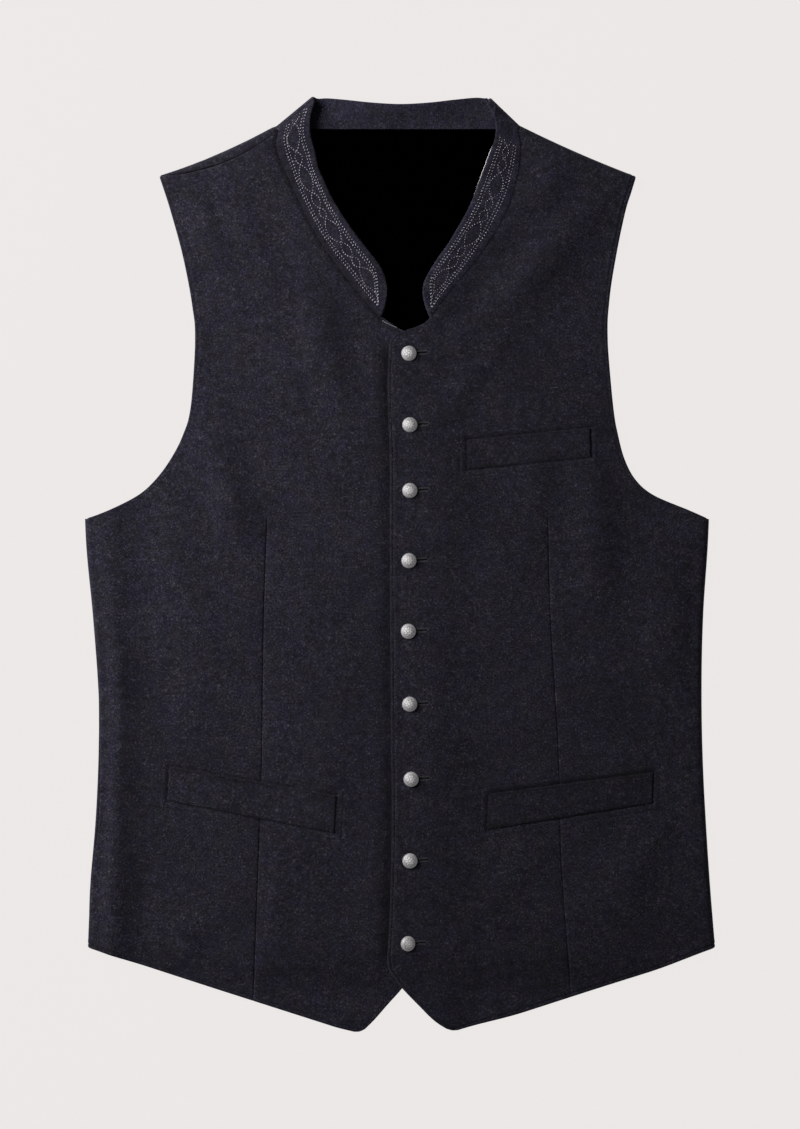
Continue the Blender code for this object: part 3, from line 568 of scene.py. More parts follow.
def on_surface(surface, x, y):
    """Top point and normal of a surface at x, y, as a list of one, empty beside the surface."""
    hit, normal, _, _ = surface.ray_cast((x, y, RAY_FROM), (0.0, 0.0, -1.0))
    if hit is None:
        return []
    return [(np.array(hit), np.array(normal) * (1 if normal.z > 0 else -1))]


# ================= the cloth pieces =================
# the distances, in mm, at which columns or rows of points run beside an edge, fold or dart
EDGE_IN = np.array((0.0, 0.3, 0.8, 1.4, 2.0, 2.4, 2.7, 3.0, 3.4, 4.0, 4.8, 5.8, 7.2, 9.0, 11.5))
FOLD_IN = np.array((0.0, 0.3, 0.8, 1.5, 2.4, 3.4, 4.6, 5.8, 7.0, 8.2, 9.4, 10.6, 12.0, 14.0, 16.5))
DART_NEAR = np.array((
    -8.0, -5.5, -3.6, -2.3, -1.5, -1.0, -0.6, -0.3, 0.0, 0.3, 0.6, 1.0, 1.5, 2.3, 3.6, 5.5, 8.0))
V_PER_MM = 0.0103          # v for each millimetre just above the hem
FULL_ROW = 220.0           # a row shorter than this draws its columns together
TOP_ROW = 3.88             # v of the last row before those that lead to the shoulder seam
CORNER_REACH = 6.0         # the lower corners' rounding reaches this far along hem and edge
CORNER_SIGHT = 8           # points away along each, by which their directions are taken
DRIFT_TO, DRIFT_OVER = 0.58, 160.0     # above the dart its columns drift to this share of the row
COLUMNS_IN, COLUMNS_OUT = 32, 38       # evenly spread between closure, dart and side
SEAM_V, SEAM_V_EASE = 3.1, 0.06        # v at which the collar's seam begins
BOW_V = 0.6                # the hem's bow has died out at this v
FOLD_ROWS = 18.0           # the shoulder's rows draw together where there's less cloth than this
# v up to which the closure's stitched line runs, and from which the armhole's does; its share
# of depth along the right front's cutaway, where the cloth has no topstitching to be seen
NECK_V, ARMHOLE_V, STITCH_V_EASE, CUTAWAY_SHARE = 3.05, 2.05, 0.1, 0.25


def dart_share(wearer, inner, outer):
    """Share of a row at which it crosses the dart; above the dart it drifts to the middle."""
    share = 0.45
    for _ in range(4):
        y = inner[1] + (outer[1] - inner[1]) * share
        share = float((column(DARTS[wearer], y, 1) - inner[0]) / (outer[0] - inner[0]))
    drift = float(smooth((inner[1] - DART_TOP) / DRIFT_OVER))
    return share + (DRIFT_TO - share) * drift


def shoulder_seam(wearer, points, beyond_apex):
    """Slide points along the lean of the shoulder to the seam, past the fold by their cloth."""
    reach = QUARTER + beyond_apex - SEAM_GAP / 2
    over = shoulder_over(wearer, points[:, 0], points[:, 1])
    return points + lean(wearer) * (reach - over)[:, None]


def front_row(wearer, v):
    """Flat points of one row of a front, from the closure edge out."""
    sign = -1 if wearer == "right" else 1
    inner, outer = edge_point(EDGES[wearer], v), edge_point(SIDES[wearer], v)
    if v <= 2.0:
        shown = float(column(FOLDS[wearer], outer[1], 2))
        outer[0] = sign * (float(side_tangent(wearer, outer[1])) + QUARTER - shown - SEAM_GAP / 2)
    if v > SEAM_V:
        beyond = (inner - outer) / hypot(*(inner - outer))
        inner = inner + beyond * SEAM_ALLOWANCE * float(smooth((v - SEAM_V) / SEAM_V_EASE))
    length = hypot(*(outer - inner))
    unit = min(length / FULL_ROW, 1.0) / length
    dart = dart_share(wearer, inner, outer)
    near, far = EDGE_IN * unit, 1 - FOLD_IN[::-1] * unit
    middle = dart + DART_NEAR * unit
    stops = np.concatenate((near, np.linspace(near[-1], middle[0], COLUMNS_IN)[1:-1], middle,
                            np.linspace(middle[-1], far[0], COLUMNS_OUT)[1:-1], far))
    row = inner + (outer - inner) * stops[:, None]
    bow, near_closure, near_side = HEM_BOW[wearer]
    inside = smooth(stops * length / near_closure) * smooth((1 - stops) * length / near_side)
    row[:, 1] -= bow * inside * (1 - smooth(v / BOW_V))
    return row


def front_levels():
    """v of each row from the hem to TOP_ROW, about CLOTH_STEP apart."""
    levels = list(EDGE_IN * V_PER_MM)
    for low, high in ((levels[-1], 1.0), (1.0, 2.0), (2.0, 3.0), (3.0, TOP_ROW)):
        at = np.linspace(low, high, 12)
        lengths = []
        for rows in (*EDGES.values(), *SIDES.values()):
            lengths.append(sum(hypot(*(edge_point(rows, b) - edge_point(rows, a)))
                               for a, b in zip(at, at[1:])))
        count = int(max(lengths) / CLOTH_STEP) + 1
        levels += list(np.linspace(low, high, count + 1)[1:])
    return levels


def round_corner(flat):
    """Round the corner between the hem and the closure edge, as photographed."""
    corner = flat[0, 0]
    along_hem = flat[0, CORNER_SIGHT] - corner
    along_edge = flat[CORNER_SIGHT, 0] - corner
    basis = unit_rows(np.stack((along_hem, along_edge)))
    place = (flat - corner) @ np.linalg.inv(basis)
    near = np.clip(1 - place / CORNER_REACH, 0.0, 1.0)
    pull = 1 - np.sqrt(1 - near[..., ::-1] ** 2 / 2)
    return flat + CORNER_REACH * (near * pull) @ basis


def front_grid(wearer, levels):
    """Flat grid of a front, its rows from the hem to the shoulder seam."""
    rows = [front_row(wearer, v) for v in levels]
    end = front_row(wearer, 4.0)
    seam = shoulder_seam(wearer, end, -shoulder_shown(wearer, end[:, 0]))
    below = rows[-1]
    gap = np.linalg.norm(below - seam, axis=1)
    for step in FOLD_IN[::-1]:
        share = step * np.minimum(gap / FOLD_ROWS, 1.0) / gap
        rows.append(seam + (below - seam) * share[:, None])
    return round_corner(np.array(rows))


CLOSURE_STITCHED, EDGE_STITCHED = 0.36, 0.3    # depth of the valley along a stitched edge


def stitched_line(distance, depth):
    """The valley that a row of stitches pulls in the cloth, and the swell beyond it."""
    valley = -depth * np.exp(-((distance - TOPSTITCH_IN) / 0.6) ** 2)
    return valley + 0.5 * depth * np.exp(-((distance - TOPSTITCH_IN - 1.8) / 1.1) ** 2)


def welt_sides(corners, x, y):
    """Distances out from a welt's four sides: top, left, bottom and right."""
    outline = [np.array(corner) for corner in corners]
    centre = sum(outline) / 4
    distances = []
    for first, second in zip(outline, outline[1:] + outline[:1]):
        along = (second - first) / hypot(*(second - first))
        normal = np.array((along[1], -along[0]))
        if np.dot(centre - first, normal) > 0:
            normal = -normal
        distances.append((x - first[0]) * normal[0] + (y - first[1]) * normal[1])
    return np.array(distances)


def welt_distance(corners, x, y):
    """Signed distance from a welt's outline, negative inside."""
    return welt_sides(corners, x, y).max(axis=0)


# the painted shade a welt's seams keep, side by side as in welt_sides: place, half width and depth
WELT_SHADE = {
    "welt_right": ((-0.6, 2.6, 0.40), (2.3, 1.5, 0.33), (-0.4, 1.2, 0.35), (0.1, 0.9, 0.35)),
    "welt_left": ((1.0, 3.0, 0.55), (2.4, 1.3, 0.42), (-1.2, 1.6, 0.48), (0.0, 1.0, 0.62)),
    "welt_chest": ((0.7, 2.0, 0.42), (-0.4, 0.8, 0.20), (-1.5, 1.6, 0.30), (0.0, 1.0, 0.62))}
# painted shade over each whole welt, fading out across its margin
WELT_PAINTED_SHADE = {"welt_right": 1.0, "welt_left": 0.93, "welt_chest": 0.97}
WELT_BED = 1.65            # the front's right side lies this much lower under a welt
BED_EDGE, BED_EASE = 4.6, 2.6          # from this far outside its seam inwards
WELT_PROUD = 0.3           # and the welt's this much higher than its margin
WELT_SHEET = 1.5           # thickness of a welt's piece


def welt_shade(name, wearer, corners, x, y):
    """Painted shade along the seams of a welt and over the whole welt, gone before its piece ends.
    """
    distances = welt_sides(corners, x, y)
    total = np.ones_like(x)
    for side, (place, width, depth) in enumerate(WELT_SHADE[name]):
        past_corner = np.delete(distances, side, axis=0).max(axis=0)
        within = smooth((1.8 - past_corner) / 2.0)
        total = total * (1 - depth * within * np.exp(-((distances[side] - place) / width) ** 2))
    total = total * WELT_PAINTED_SHADE[name]
    fading = smooth((6.8 - distances.max(axis=0)) / 3.0)
    return PANEL_TONE[wearer] * (1 + (total - 1) * fading)


def welt_beds(wearer, x, y):
    """The front lies lower under each welt and its seam, which cover it."""
    total = np.zeros_like(x)
    for panel, corners in WELTS.values():
        if panel == wearer:
            total = total - WELT_BED * smooth((BED_EDGE - welt_distance(corners, x, y)) / BED_EASE)
    return total


def front(wearer, levels):
    """A front with its folds, and the relief of its stitched closure edge, hem and armhole."""
    flat = front_grid(wearer, levels)
    x, y = flat[..., 0], flat[..., 1]
    points = turned_front(wearer, x, y, lambda px, py: front_height(wearer, px, py))
    hem, _, closure, outer = rim_distance(flat)
    v = np.array(levels + [4.0] * (len(flat) - len(levels)))[:, None]
    cutaway = 1 - (1 - CUTAWAY_SHARE) * smooth((1.0 - v) / STITCH_V_EASE) * (wearer == "right")
    relief = stitched_line(closure, CLOSURE_STITCHED) * cutaway
    relief = relief * smooth((NECK_V - v) / STITCH_V_EASE)
    relief = relief + stitched_line(hem, EDGE_STITCHED)
    relief = relief + stitched_line(outer, EDGE_STITCHED) * smooth((v - ARMHOLE_V) / STITCH_V_EASE)
    relief = relief + welt_beds(wearer, x, y) + dart_groove(wearer, x, y)
    hollow, hollow_width = COLLAR_HOLLOW[wearer]
    relief = relief - hollow * np.exp(-(collar_distance(wearer, x, y) / hollow_width) ** 2)
    if wearer == "right":
        relief = relief + closure_hollow(x, y)
    shade = front_shade(wearer, x, y, closure)
    return shell("cloth_front_" + wearer, points, FRONT_THICK, FRONT_ROLL, relief, shade)


BACK_EDGE = np.array((0.0, 0.3, 0.8, 1.5, 2.4, 3.4, 4.6, 5.8, 7.0, 8.5, 10.5, 13.0, 18.0))
BACK_UNDERARM_Y = 30.0
BACK_UNDERARM_SLOPE = 1.8
BACK_NECK_Y = 335.0
ARMHOLE_INSET = 1.8
BACK_LEVELS = ((30.0, 104), (60.0, 22), (275.0, 66))   # y up to which so many rows run evenly
TOP_STEPS = np.concatenate(((22.0, 20.0, 18.0, 16.0, 14.0), BACK_EDGE[-2::-1]))   # from the seam
TOP_ROWS = 24.0            # they draw together where there's less cloth than this


def armhole_reach(wearer, y):
    """|x| of the back's armhole at y, which keeps just inside the front's."""
    rows = [row for row in SIDES[wearer] if row[0] >= 2.0]
    level = y + ARMHOLE_INSET
    return abs(float(np.interp(level, [row[2] for row in rows], [row[1] for row in rows]))) - 1.0


def back_reach(wearer, y):
    """|x| of the back's edge at y, on the flat cloth."""
    side = (float(side_tangent(wearer, y)) + QUARTER + float(column(FOLDS[wearer], y, 2))
            - SEAM_GAP / 2)
    if y <= BACK_UNDERARM_Y:
        return side
    above = min(y - BACK_UNDERARM_Y, 16.0)
    return min(armhole_reach(wearer, y), side - BACK_UNDERARM_SLOPE * above)


def back_columns(right_x, left_x):
    """x of a row's points, close together at both ends."""
    middle = np.linspace(right_x + BACK_EDGE[-1], left_x - BACK_EDGE[-1], 96)[1:-1]
    return np.concatenate((right_x + BACK_EDGE, middle, left_x - BACK_EDGE[::-1]))


def back_seam(x):
    """Points of the back's shoulder seams and neck edge at x on the flat cloth."""
    out = []
    for at in x:
        wearer = "right" if at < 0 else "left"
        if along_shoulder(wearer, at) < 0:
            out.append((at, BACK_NECK_Y))
            continue
        line = np.array(((at, float(shoulder_y(wearer, at))),))
        out.append(shoulder_seam(wearer, line, float(shoulder_shown(wearer, at)))[0])
    return np.array(out)


def back():
    """The back panel, folded up at its sides and shoulders to meet the fronts."""
    levels = list(SIDES["right"][0][2] + BACK_EDGE)
    for y, count in BACK_LEVELS:
        levels += list(np.linspace(levels[-1], y, count)[1:])
    rows = []
    for y in levels:
        x = back_columns(-back_reach("right", y), back_reach("left", y))
        rows.append(np.stack((x, np.full_like(x, y)), axis=1))
    seam = back_seam(back_columns(-SHOULDERS["right"]["tip"][0], SHOULDERS["left"]["tip"][0]))
    below = rows[-1]
    gap = np.linalg.norm(below - seam, axis=1)
    for step in TOP_STEPS:
        share = step * np.minimum(gap / TOP_ROWS, 1.0) / gap
        rows.append(seam + (below - seam) * share[:, None])
    flat = np.array(rows)
    return shell("cloth_back", turned_back(flat[..., 0], flat[..., 1]), BACK_THICK, BACK_ROLL)


LINING_LAP = 0.5           # its top edge rises this much to lap over the collar's seam
LAP_FROM, LAP_OVER = 331.0, 4.0        # y
LINING_ROWS, LINING_COLUMNS = 74, 40


def lining():
    """The black cloth seen down the neck opening."""
    rows = LINING[::-1]
    middle = BACK_THICK + GAP + LINING_THICK / 2
    points = []
    for y in np.linspace(rows[0][0], rows[-1][0], LINING_ROWS):
        x = np.linspace(float(column(rows, y, 1)), float(column(rows, y, 2)), LINING_COLUMNS)
        z = middle + LINING_LAP * smooth((y - LAP_FROM) / LAP_OVER)
        points.append(np.stack((x, np.full_like(x, y), np.full_like(x, z)), axis=1))
    return shell("cloth_lining", np.array(points), LINING_THICK, THIN_ROLL)


ACROSS = np.array((0.0, 0.3, 0.8, 1.5, 2.4, 3.4, 4.4, 5.5, 6.6, 7.7, 8.8, 9.9))


def collar_sections(base, free, base_z, free_z):
    """Lines of points across the collar, level at its seam: base and free are n by 2."""
    width = np.linalg.norm(free - base, axis=1)
    near = ACROSS[None, :] / width[:, None]
    share = np.concatenate((near, 1 - near[:, ::-1]), axis=1)
    share = np.clip(share, 0.0, 1.0)
    place = base[:, None, :] + (free - base)[:, None, :] * share[..., None]
    z = base_z[:, None] + (free_z - base_z)[:, None] * smooth(share)
    return np.concatenate((place, z[..., None]), axis=-1)


def spread(rows, count):
    """A table's rows read smoothly at count places."""
    keyed = [(float(k), *row) for k, row in enumerate(rows)]
    at = np.linspace(0.0, len(rows) - 1.0, count)
    return np.stack([column(keyed, at, 1 + k) for k in range(len(rows[0]))], axis=1)


COLLAR_OUT = {"right": 1.4, "left": 1.6}   # the photographed bands lie this much further out
COLLAR_END_BOW = {"right": (1.7, -0.4), "left": (-1.1, -0.4)}   # its free ends curve outwards
COLLAR_SINK = 0.8          # a front's part of the collar starts this much lower at its seam
COLLAR_HOLLOW = {"right": (1.0, 2.6), "left": (0.35, 2.2)}    # depth and half width beside it
COLLAR_SHADE = {"right": (0.70, 2.3), "left": (0.22, 2.2)}     # the same for the painted shade there
# painted shade and light on the collar's front parts: a level over each, and how much that changes
# near the seam: amount, place, width
COLLAR_PAINTED_SHADE_AND_LIGHT = {"right": (0.74, -0.40, 0.0, 3.2), "left": (1.0, 0.30, 2.2, 3.0)}
FRONT_SECTIONS, BACK_SECTIONS = 116, 90
# shares of a part's length in which these come in from the fold: outward shift, sinking, painted
# shade
OUT_SHARE, SINK_SHARE, SHADE_SHARE = 0.12, 0.08, 0.16
BOW_SHARE = 0.1            # and the bow, from the free end
SINK_WIDTH = 4.5


def share_from_fold(wearer, count):
    """0 at the shoulder's fold and 1 at the collar's front end, in the table's order."""
    share = np.linspace(1.0, 0.0, count)
    return share if wearer == "right" else 1 - share


def collar_rows(wearer, count):
    """Sections of a front's part of the collar, in the table's order."""
    rows = spread(COLLAR[wearer], count)
    shift = unit_rows(rows[:, 0:2] - rows[:, 2:4]) * COLLAR_OUT[wearer]
    shift = shift * smooth(share_from_fold(wearer, count) / OUT_SHARE)[:, None]
    rows[:, 0:2] += shift
    rows[:, 2:4] += shift
    return rows


def collar_front(wearer):
    """A front's part of the collar, low at its seam and curved at its free end."""
    rows = collar_rows(wearer, FRONT_SECTIONS)
    z = front_height(wearer, rows[:, 0], rows[:, 1], darts=False) + COLLAR_STEP
    lines = collar_sections(rows[:, 0:2], rows[:, 2:4], z, z + rows[:, 4])
    from_seam = np.linalg.norm(lines[..., 0:2] - rows[:, None, 0:2], axis=-1)
    from_fold = share_from_fold(wearer, FRONT_SECTIONS)
    at_seam = 1 - smooth(from_seam / SINK_WIDTH)
    lines[..., 2] -= COLLAR_SINK * at_seam * smooth(from_fold / SINK_SHARE)[:, None]
    along = from_seam / from_seam[:, -1:]
    near_end = smooth(1 - (1 - from_fold) / BOW_SHARE)[:, None]
    swell = 4 * along * (1 - along) * near_end
    return lines + swell[..., None] * np.array((*COLLAR_END_BOW[wearer], 0.0))


def collar_shade(points):
    """Painted shade all over the collar's right part, darkest at its seam; painted light by the
    left's seam.
    """
    total = np.ones(points.shape[:2])
    ends = {"right": slice(0, FRONT_SECTIONS), "left": slice(-FRONT_SECTIONS, None)}
    for wearer, rows in ends.items():
        part = points[rows]
        from_seam = np.linalg.norm(part[..., 0:2] - part[:, :1, 0:2], axis=-1)
        from_fold = share_from_fold(wearer, FRONT_SECTIONS)
        level, amount, place, width = COLLAR_PAINTED_SHADE_AND_LIGHT[wearer]
        # tone here is painted shade below 1 and painted light above 1
        tone = level + amount * np.exp(-((from_seam - place) / width) ** 2)
        total[rows] = 1 + (tone - 1) * smooth(from_fold / SHADE_SHARE)[:, None]
    return total


BACK_SAG = 0.8             # the photographed free edge hangs this much lower across the back
# from the fold to the back's end the free edge moves by this much; right end, then left end
RIGHT_REACH = (2.0, 2.4)
LEFT_REACH = (0.0, 3.4)
FOLD_STEPS = 14
RIDGES_X = (73.4, 78.2)    # upright ridges pressed in the collar at the left shoulder's fold
RIDGE_RISE, RIDGE_WIDTH = 0.5, 0.9
RIDGE_LOW, RIDGE_HIGH, RIDGE_EASE = 336.0, 364.0, 4.0  # y of their ends


def fold_ridges(points):
    """Relief of the small upright ridges near the left end of the collar's back."""
    total = np.zeros(points.shape[:2])
    for ridge_x in RIDGES_X:
        total = total + RIDGE_RISE * np.exp(-((points[..., 0] - ridge_x) / RIDGE_WIDTH) ** 2)
    y, z = points[..., 1], points[..., 2]
    total = total * smooth((y - RIDGE_LOW) / RIDGE_EASE) * smooth((RIDGE_HIGH - y) / RIDGE_EASE)
    return total * smooth((z - COLLAR_LOW - COLLAR_FOLD_R) / 2.0)


def collar_fold(row, outward, going_down, reach):
    """Half a turn at the shoulder; reach carries the free end out to the back's free edge."""
    base, free = np.array(row[0:2]), np.array(row[2:4])
    across = (free - base) / hypot(*(free - base))
    normal = np.array((-across[1], across[0])) * outward
    lines = []
    for step in range(1, FOLD_STEPS):
        angle = pi * step / FOLD_STEPS
        if not going_down:
            angle = pi - angle
        shift = normal * COLLAR_FOLD_R * sin(angle)
        further = np.array(reach) * (1 - cos(angle)) / 2
        z = np.array([COLLAR_LOW + COLLAR_FOLD_R * (1 + cos(angle))])
        lines.append(collar_sections((base + shift)[None], (free + shift + further)[None], z, z))
    return np.concatenate(lines)


def collar():
    """One band: up the right front, folded under, across the back, folded over, down the left."""
    low = np.array([COLLAR_LOW])
    right, left = COLLAR["right"][-1], COLLAR["left"][0]
    rows = spread(COLLAR["back"], BACK_SECTIONS)
    rows[:, 3] -= BACK_SAG * np.sin(np.linspace(0.0, pi, BACK_SECTIONS)) ** 0.5
    base_z = np.full(len(rows), COLLAR_LOW)
    right_free = np.array(right[2:4]) + RIGHT_REACH
    left_free = np.array(left[2:4]) + LEFT_REACH
    parts = [collar_front("right"), collar_fold(right, 1, True, RIGHT_REACH),
             collar_sections(np.array([right[0:2]]), right_free[None], low, low),
             collar_sections(rows[:, 0:2], rows[:, 2:4], base_z, base_z + rows[:, 4]),
             collar_sections(np.array([left[0:2]]), left_free[None], low, low),
             collar_fold(left, -1, False, LEFT_REACH), collar_front("left")]
    points = np.concatenate(parts)
    return shell("cloth_collar", points, COLLAR_THICK, COLLAR_ROLL, fold_ridges(points),
                 collar_shade(points))


WELT_MARGIN = 7.0          # cloth of the front that belongs to the welt's piece, round its seam
WELT_STEP = 0.75
MARGIN_LIFT = 0.05         # of that cloth over the front's own right side
MARGIN_DROP, DROP_FROM, DROP_OVER = 0.85, 5.2, 1.6     # it dives into the front at its rim
GROOVE_AT, GROOVE_IN, GROOVE_OUT = 0.35, 0.5, 1.7      # the seam's groove and its two walls
GROOVE_MOST = 1.15


def near_edges(length):
    """Distances along a side of a welt from its margin on, close together at its two seams."""
    seam = np.array((-WELT_MARGIN, -6.2, -5.4, -4.0, -2.8, -2.0, -1.5, -1.1, -0.8, -0.55, -0.3,
                     -0.05, 0.2, 0.45, 0.8, 1.2, 1.8, 2.6))
    middle = np.linspace(2.6, length - 2.6, int((length - 5.2) / WELT_STEP))[1:-1]
    return np.concatenate((seam, middle, (length - seam)[::-1]))


def welt(name, wearer, corners):
    """A welt, its sewn outline sunk in the cloth, with a margin that runs level into the front."""
    upper_right, upper_left, lower_left, lower_right = (np.array(c) for c in corners)
    length = hypot(*(upper_left - upper_right))
    width = hypot(*(upper_right - lower_right))
    along = (near_edges(length) / length)[None, :, None]
    across = (near_edges(width) / width)[:, None, None]
    low = lower_right + (lower_left - lower_right) * along
    high = upper_right + (upper_left - upper_right) * along
    place = low + (high - low) * across
    x, y = place[..., 0], place[..., 1]
    outside = welt_distance(corners, x, y)
    beyond = smooth(outside)
    plain = front_height(wearer, x, y, darts=False)
    middle = plain + (front_height(wearer, x, y) - plain) * beyond
    middle = middle + (FRONT_THICK - WELT_SHEET) / 2 + MARGIN_LIFT
    middle = middle - MARGIN_DROP * smooth((outside - DROP_FROM) / DROP_OVER)
    relief = dart_groove(wearer, x, y) * beyond * smooth(DROP_FROM - outside)
    ends = smooth((np.abs(along[..., 0] - 0.5) * length - length / 2 + 3.0) / 2.0)
    uneven = 0.66 + 0.10 * np.sin(0.31 * x + 1.3) + 0.08 * np.sin(0.83 * x + y)
    depth = uneven + 0.15 * ends
    wall = np.where(outside > GROOVE_AT, GROOVE_OUT, GROOVE_IN)
    groove = depth * np.exp(-((outside - GROOVE_AT) / wall) ** 2)
    relief = np.maximum(relief - groove, -GROOVE_MOST)
    relief = relief + WELT_PROUD * smooth((0.1 - outside) / 1.3)
    points = np.stack((x, y, middle), axis=-1)
    shade = welt_shade(name, wearer, corners, x, y)
    return shell("cloth_" + name, points, WELT_SHEET, THIN_ROLL, relief, shade)


# ================= stitches =================
STITCH_SINK = 0.1          # of a stitch that lies in the cloth


def stitch_template():
    """A small rounded stitch of unit length, width and height."""
    sides, rings = 6, 4
    verts = [(-0.5, 0.0, 0.0)]
    for ring in range(1, rings):
        along = -0.5 * cos(pi * ring / rings)
        radius = 0.5 * sin(pi * ring / rings)
        for side in range(sides):
            angle = 2 * pi * side / sides
            verts.append((along, radius * cos(angle), radius * sin(angle)))
    verts.append((0.5, 0.0, 0.0))
    faces = []
    last = len(verts) - 1
    for side in range(sides):
        after = (side + 1) % sides
        faces.append((0, 1 + after, 1 + side))
        faces.append((last, last - sides + side, last - sides + after))
        for ring in range(rings - 2):
            a, b = 1 + ring * sides + side, 1 + ring * sides + after
            faces.append((a, b, b + sides, a + sides))
    return np.array(verts), faces


def stitches(name, marks):
    """One piece from marks: place, direction, normal, length, width and height, in mm."""
    shape, shape_faces = stitch_template()
    verts, faces = [], []
    for place, direction, normal, length, width, height in marks:
        direction = direction - normal * float(np.dot(direction, normal))
        direction = direction / np.linalg.norm(direction)
        side = np.cross(normal, direction)
        start = len(verts) * len(shape)
        verts.append(place + shape[:, 0:1] * direction * length + shape[:, 1:2] * side * width
                     + shape[:, 2:3] * normal * height)
        faces += [tuple(k + start for k in face) for face in shape_faces]
    return placed(name, np.concatenate(verts), faces)


def read_path(at, ahead, path):
    """x, y on a path at distances from its start, where ahead holds its points' distances."""
    return np.stack([np.interp(at, ahead, path[:, k]) for k in (0, 1)], axis=-1)


def walk(path, pitch):
    """Places and directions every pitch along a line of x, y points."""
    path = np.asarray(path, dtype=float)
    steps = np.linalg.norm(np.diff(path, axis=0), axis=1)
    ahead = np.concatenate(((0.0,), np.cumsum(steps)))
    at = np.arange(pitch / 2, ahead[-1], pitch)
    place, later, sooner = (read_path(where, ahead, path) for where in (at, at + 0.4, at - 0.4))
    return place, unit_rows(later - sooner)


def closure_line():
    """The row of stitches inside the closure edge of the left front."""
    line = [edge_point(EDGES["left"], v) + (TOPSTITCH_IN, 0.0) for v in np.linspace(1.03, 2.88, 90)]
    for v in np.linspace(2.9, 3.08, 16):
        before, after = edge_point(EDGES["left"], v - 0.005), edge_point(EDGES["left"], v + 0.005)
        along = (after - before) / hypot(*(after - before))
        line.append(edge_point(EDGES["left"], v) + TOPSTITCH_IN * np.array((along[1], -along[0])))
    return np.array(line)


def row_of_stitches(surface, path, pitch, length, width, height):
    """Marks of stitches along a path, a little sunk in the surface."""
    lift = height / 2 - STITCH_SINK
    return [(top + normal * lift, np.array((*direction, 0.0)), normal, length, width, height)
            for place, direction in zip(*walk(path, pitch))
            for top, normal in on_surface(surface, *place)]


# ================= embroidery on the collar =================
# s is the distance from the collar's front end, and t runs from its seam, 0, to its free edge, 26
BAND = 26.0
SEAM_PAIR = {"right": (4.6, 6.6), "left": (5.3, 7.4)}
FREE_PAIR = {"right": (18.9, 20.9), "left": (19.8, 21.9)}
# how the pairs wander from those levels; columns: s, seam pair, free pair
ROW_DRIFT = {
    "right": ((6.0, 0.0, 0.0), (32.0, 0.6, 0.1), (75.0, -0.1, 0.0), (105.0, 0.2, 0.1),
              (130.0, 1.3, 0.0), (170.0, 1.6, -0.4)),
    "left": ((4.0, 0.0, 0.0), (32.0, -0.1, 0.1), (62.0, 0.7, 0.0), (85.0, 1.2, -0.2),
             (110.0, 0.3, -0.3), (145.0, 0.0, -0.8))}
STRAND_MIDDLE = {"right": 12.9, "left": 13.6}
POINT_S = {"right": 6.0, "left": 3.8}  # where all rows meet near the front end
POINT_T = 5.4
JOIN_LENGTH = 20.0                     # in which the rows spread from that point
STRANDS_FROM = 12.0
# lengths and half widths of the lenses and loops, charted from the front end
LENS, LOOP, SMALL_LOOP = 4.8, 3.1, 2.6
CHART = {
    "right": ((22.0, LENS), (9.7, SMALL_LOOP), (14.3, LOOP), (22.0, LENS), (9.5, SMALL_LOOP),
              (13.3, LOOP), (23.4, LENS), (10.6, SMALL_LOOP), (22.0, LENS), (9.7, SMALL_LOOP)),
    "left": ((21.0, LENS), (12.0, LOOP), (9.5, SMALL_LOOP), (22.5, LENS), (10.5, LOOP),
             (10.0, SMALL_LOOP), (21.5, LENS), (11.0, LOOP), (10.0, SMALL_LOOP), (9.0, LOOP))}
ROWS_END = {"right": 170.0, "left": 144.5}
DOT_LENGTH, DOT_WIDTH, DOT_HEIGHT, DOT_PITCH = 1.62, 0.80, 0.5, 2.15
DOT_LIFT = 0.15                        # of a stitch's middle over the cloth
ROW_PITCH = 2.45                       # of the outer rows, worked as short slanting bars
FADE = {"right": 0.0, "left": 0.16}    # the left rows grow finer towards the shoulder
FADE_FROM, FADE_LENGTH = 80.0, 30.0
STRAND_SIZE = {"right": 0.80, "left": 0.68}


def collar_reader(wearer):
    """A function from s, t to x, y on a front part of the collar, and its length."""
    rows = collar_rows(wearer, 300)
    if wearer == "left":
        rows = rows[::-1]
    base, free = rows[:, 0:2], rows[:, 2:4]
    middle = 0.5 * (base + free)
    ahead = np.concatenate(((0.0,), np.cumsum(np.linalg.norm(np.diff(middle, axis=0), axis=1))))

    def read(s, t):
        seam, edge = read_path(s, ahead, base), read_path(s, ahead, free)
        return seam + (edge - seam) * (np.asarray(t) / BAND)[..., None]
    return read, float(ahead[-1])


def strand_offset(s, chart):
    """Signed distance of a strand from the middle, swinging over at each crossing."""
    out = np.zeros_like(s)
    start, sign = STRANDS_FROM, 1.0
    for length, half in chart:
        inside = (s >= start) & (s < start + length)
        part = (s - start) / length
        out = np.where(inside, sign * half * np.sin(pi * np.clip(part, 0, 1)) ** 0.85, out)
        start += length
        sign = -sign
    return out


def embroidered_lines(wearer, s):
    """t of each line at s, with the size of its bars: four rows, then two strands without bars."""
    begin = POINT_S[wearer]
    share = np.clip((s - begin) / JOIN_LENGTH, 0.0, 1.0)
    opened = np.sin(0.5 * pi * share ** 0.75)
    places, seam_drift, free_drift = (np.array(part) for part in zip(*ROW_DRIFT[wearer]))
    seam_drift, free_drift = np.interp(s, places, seam_drift), np.interp(s, places, free_drift)
    lines = []
    for level in SEAM_PAIR[wearer]:
        spreading = smooth((s - begin) / 9.0)
        lines.append((POINT_T + (level + seam_drift - POINT_T) * spreading, 0.84))
    for level in FREE_PAIR[wearer]:
        lines.append((POINT_T + (level + free_drift - POINT_T) * opened, 0.95))
    wander = strand_offset(s, CHART[wearer])
    low = SEAM_PAIR[wearer][1] + seam_drift + 0.7
    for sign in (1, -1):
        level = STRAND_MIDDLE[wearer] + sign * wander
        lines.append((np.minimum(np.maximum(level, low), low + (level - low) * opened), 0.0))
    return lines


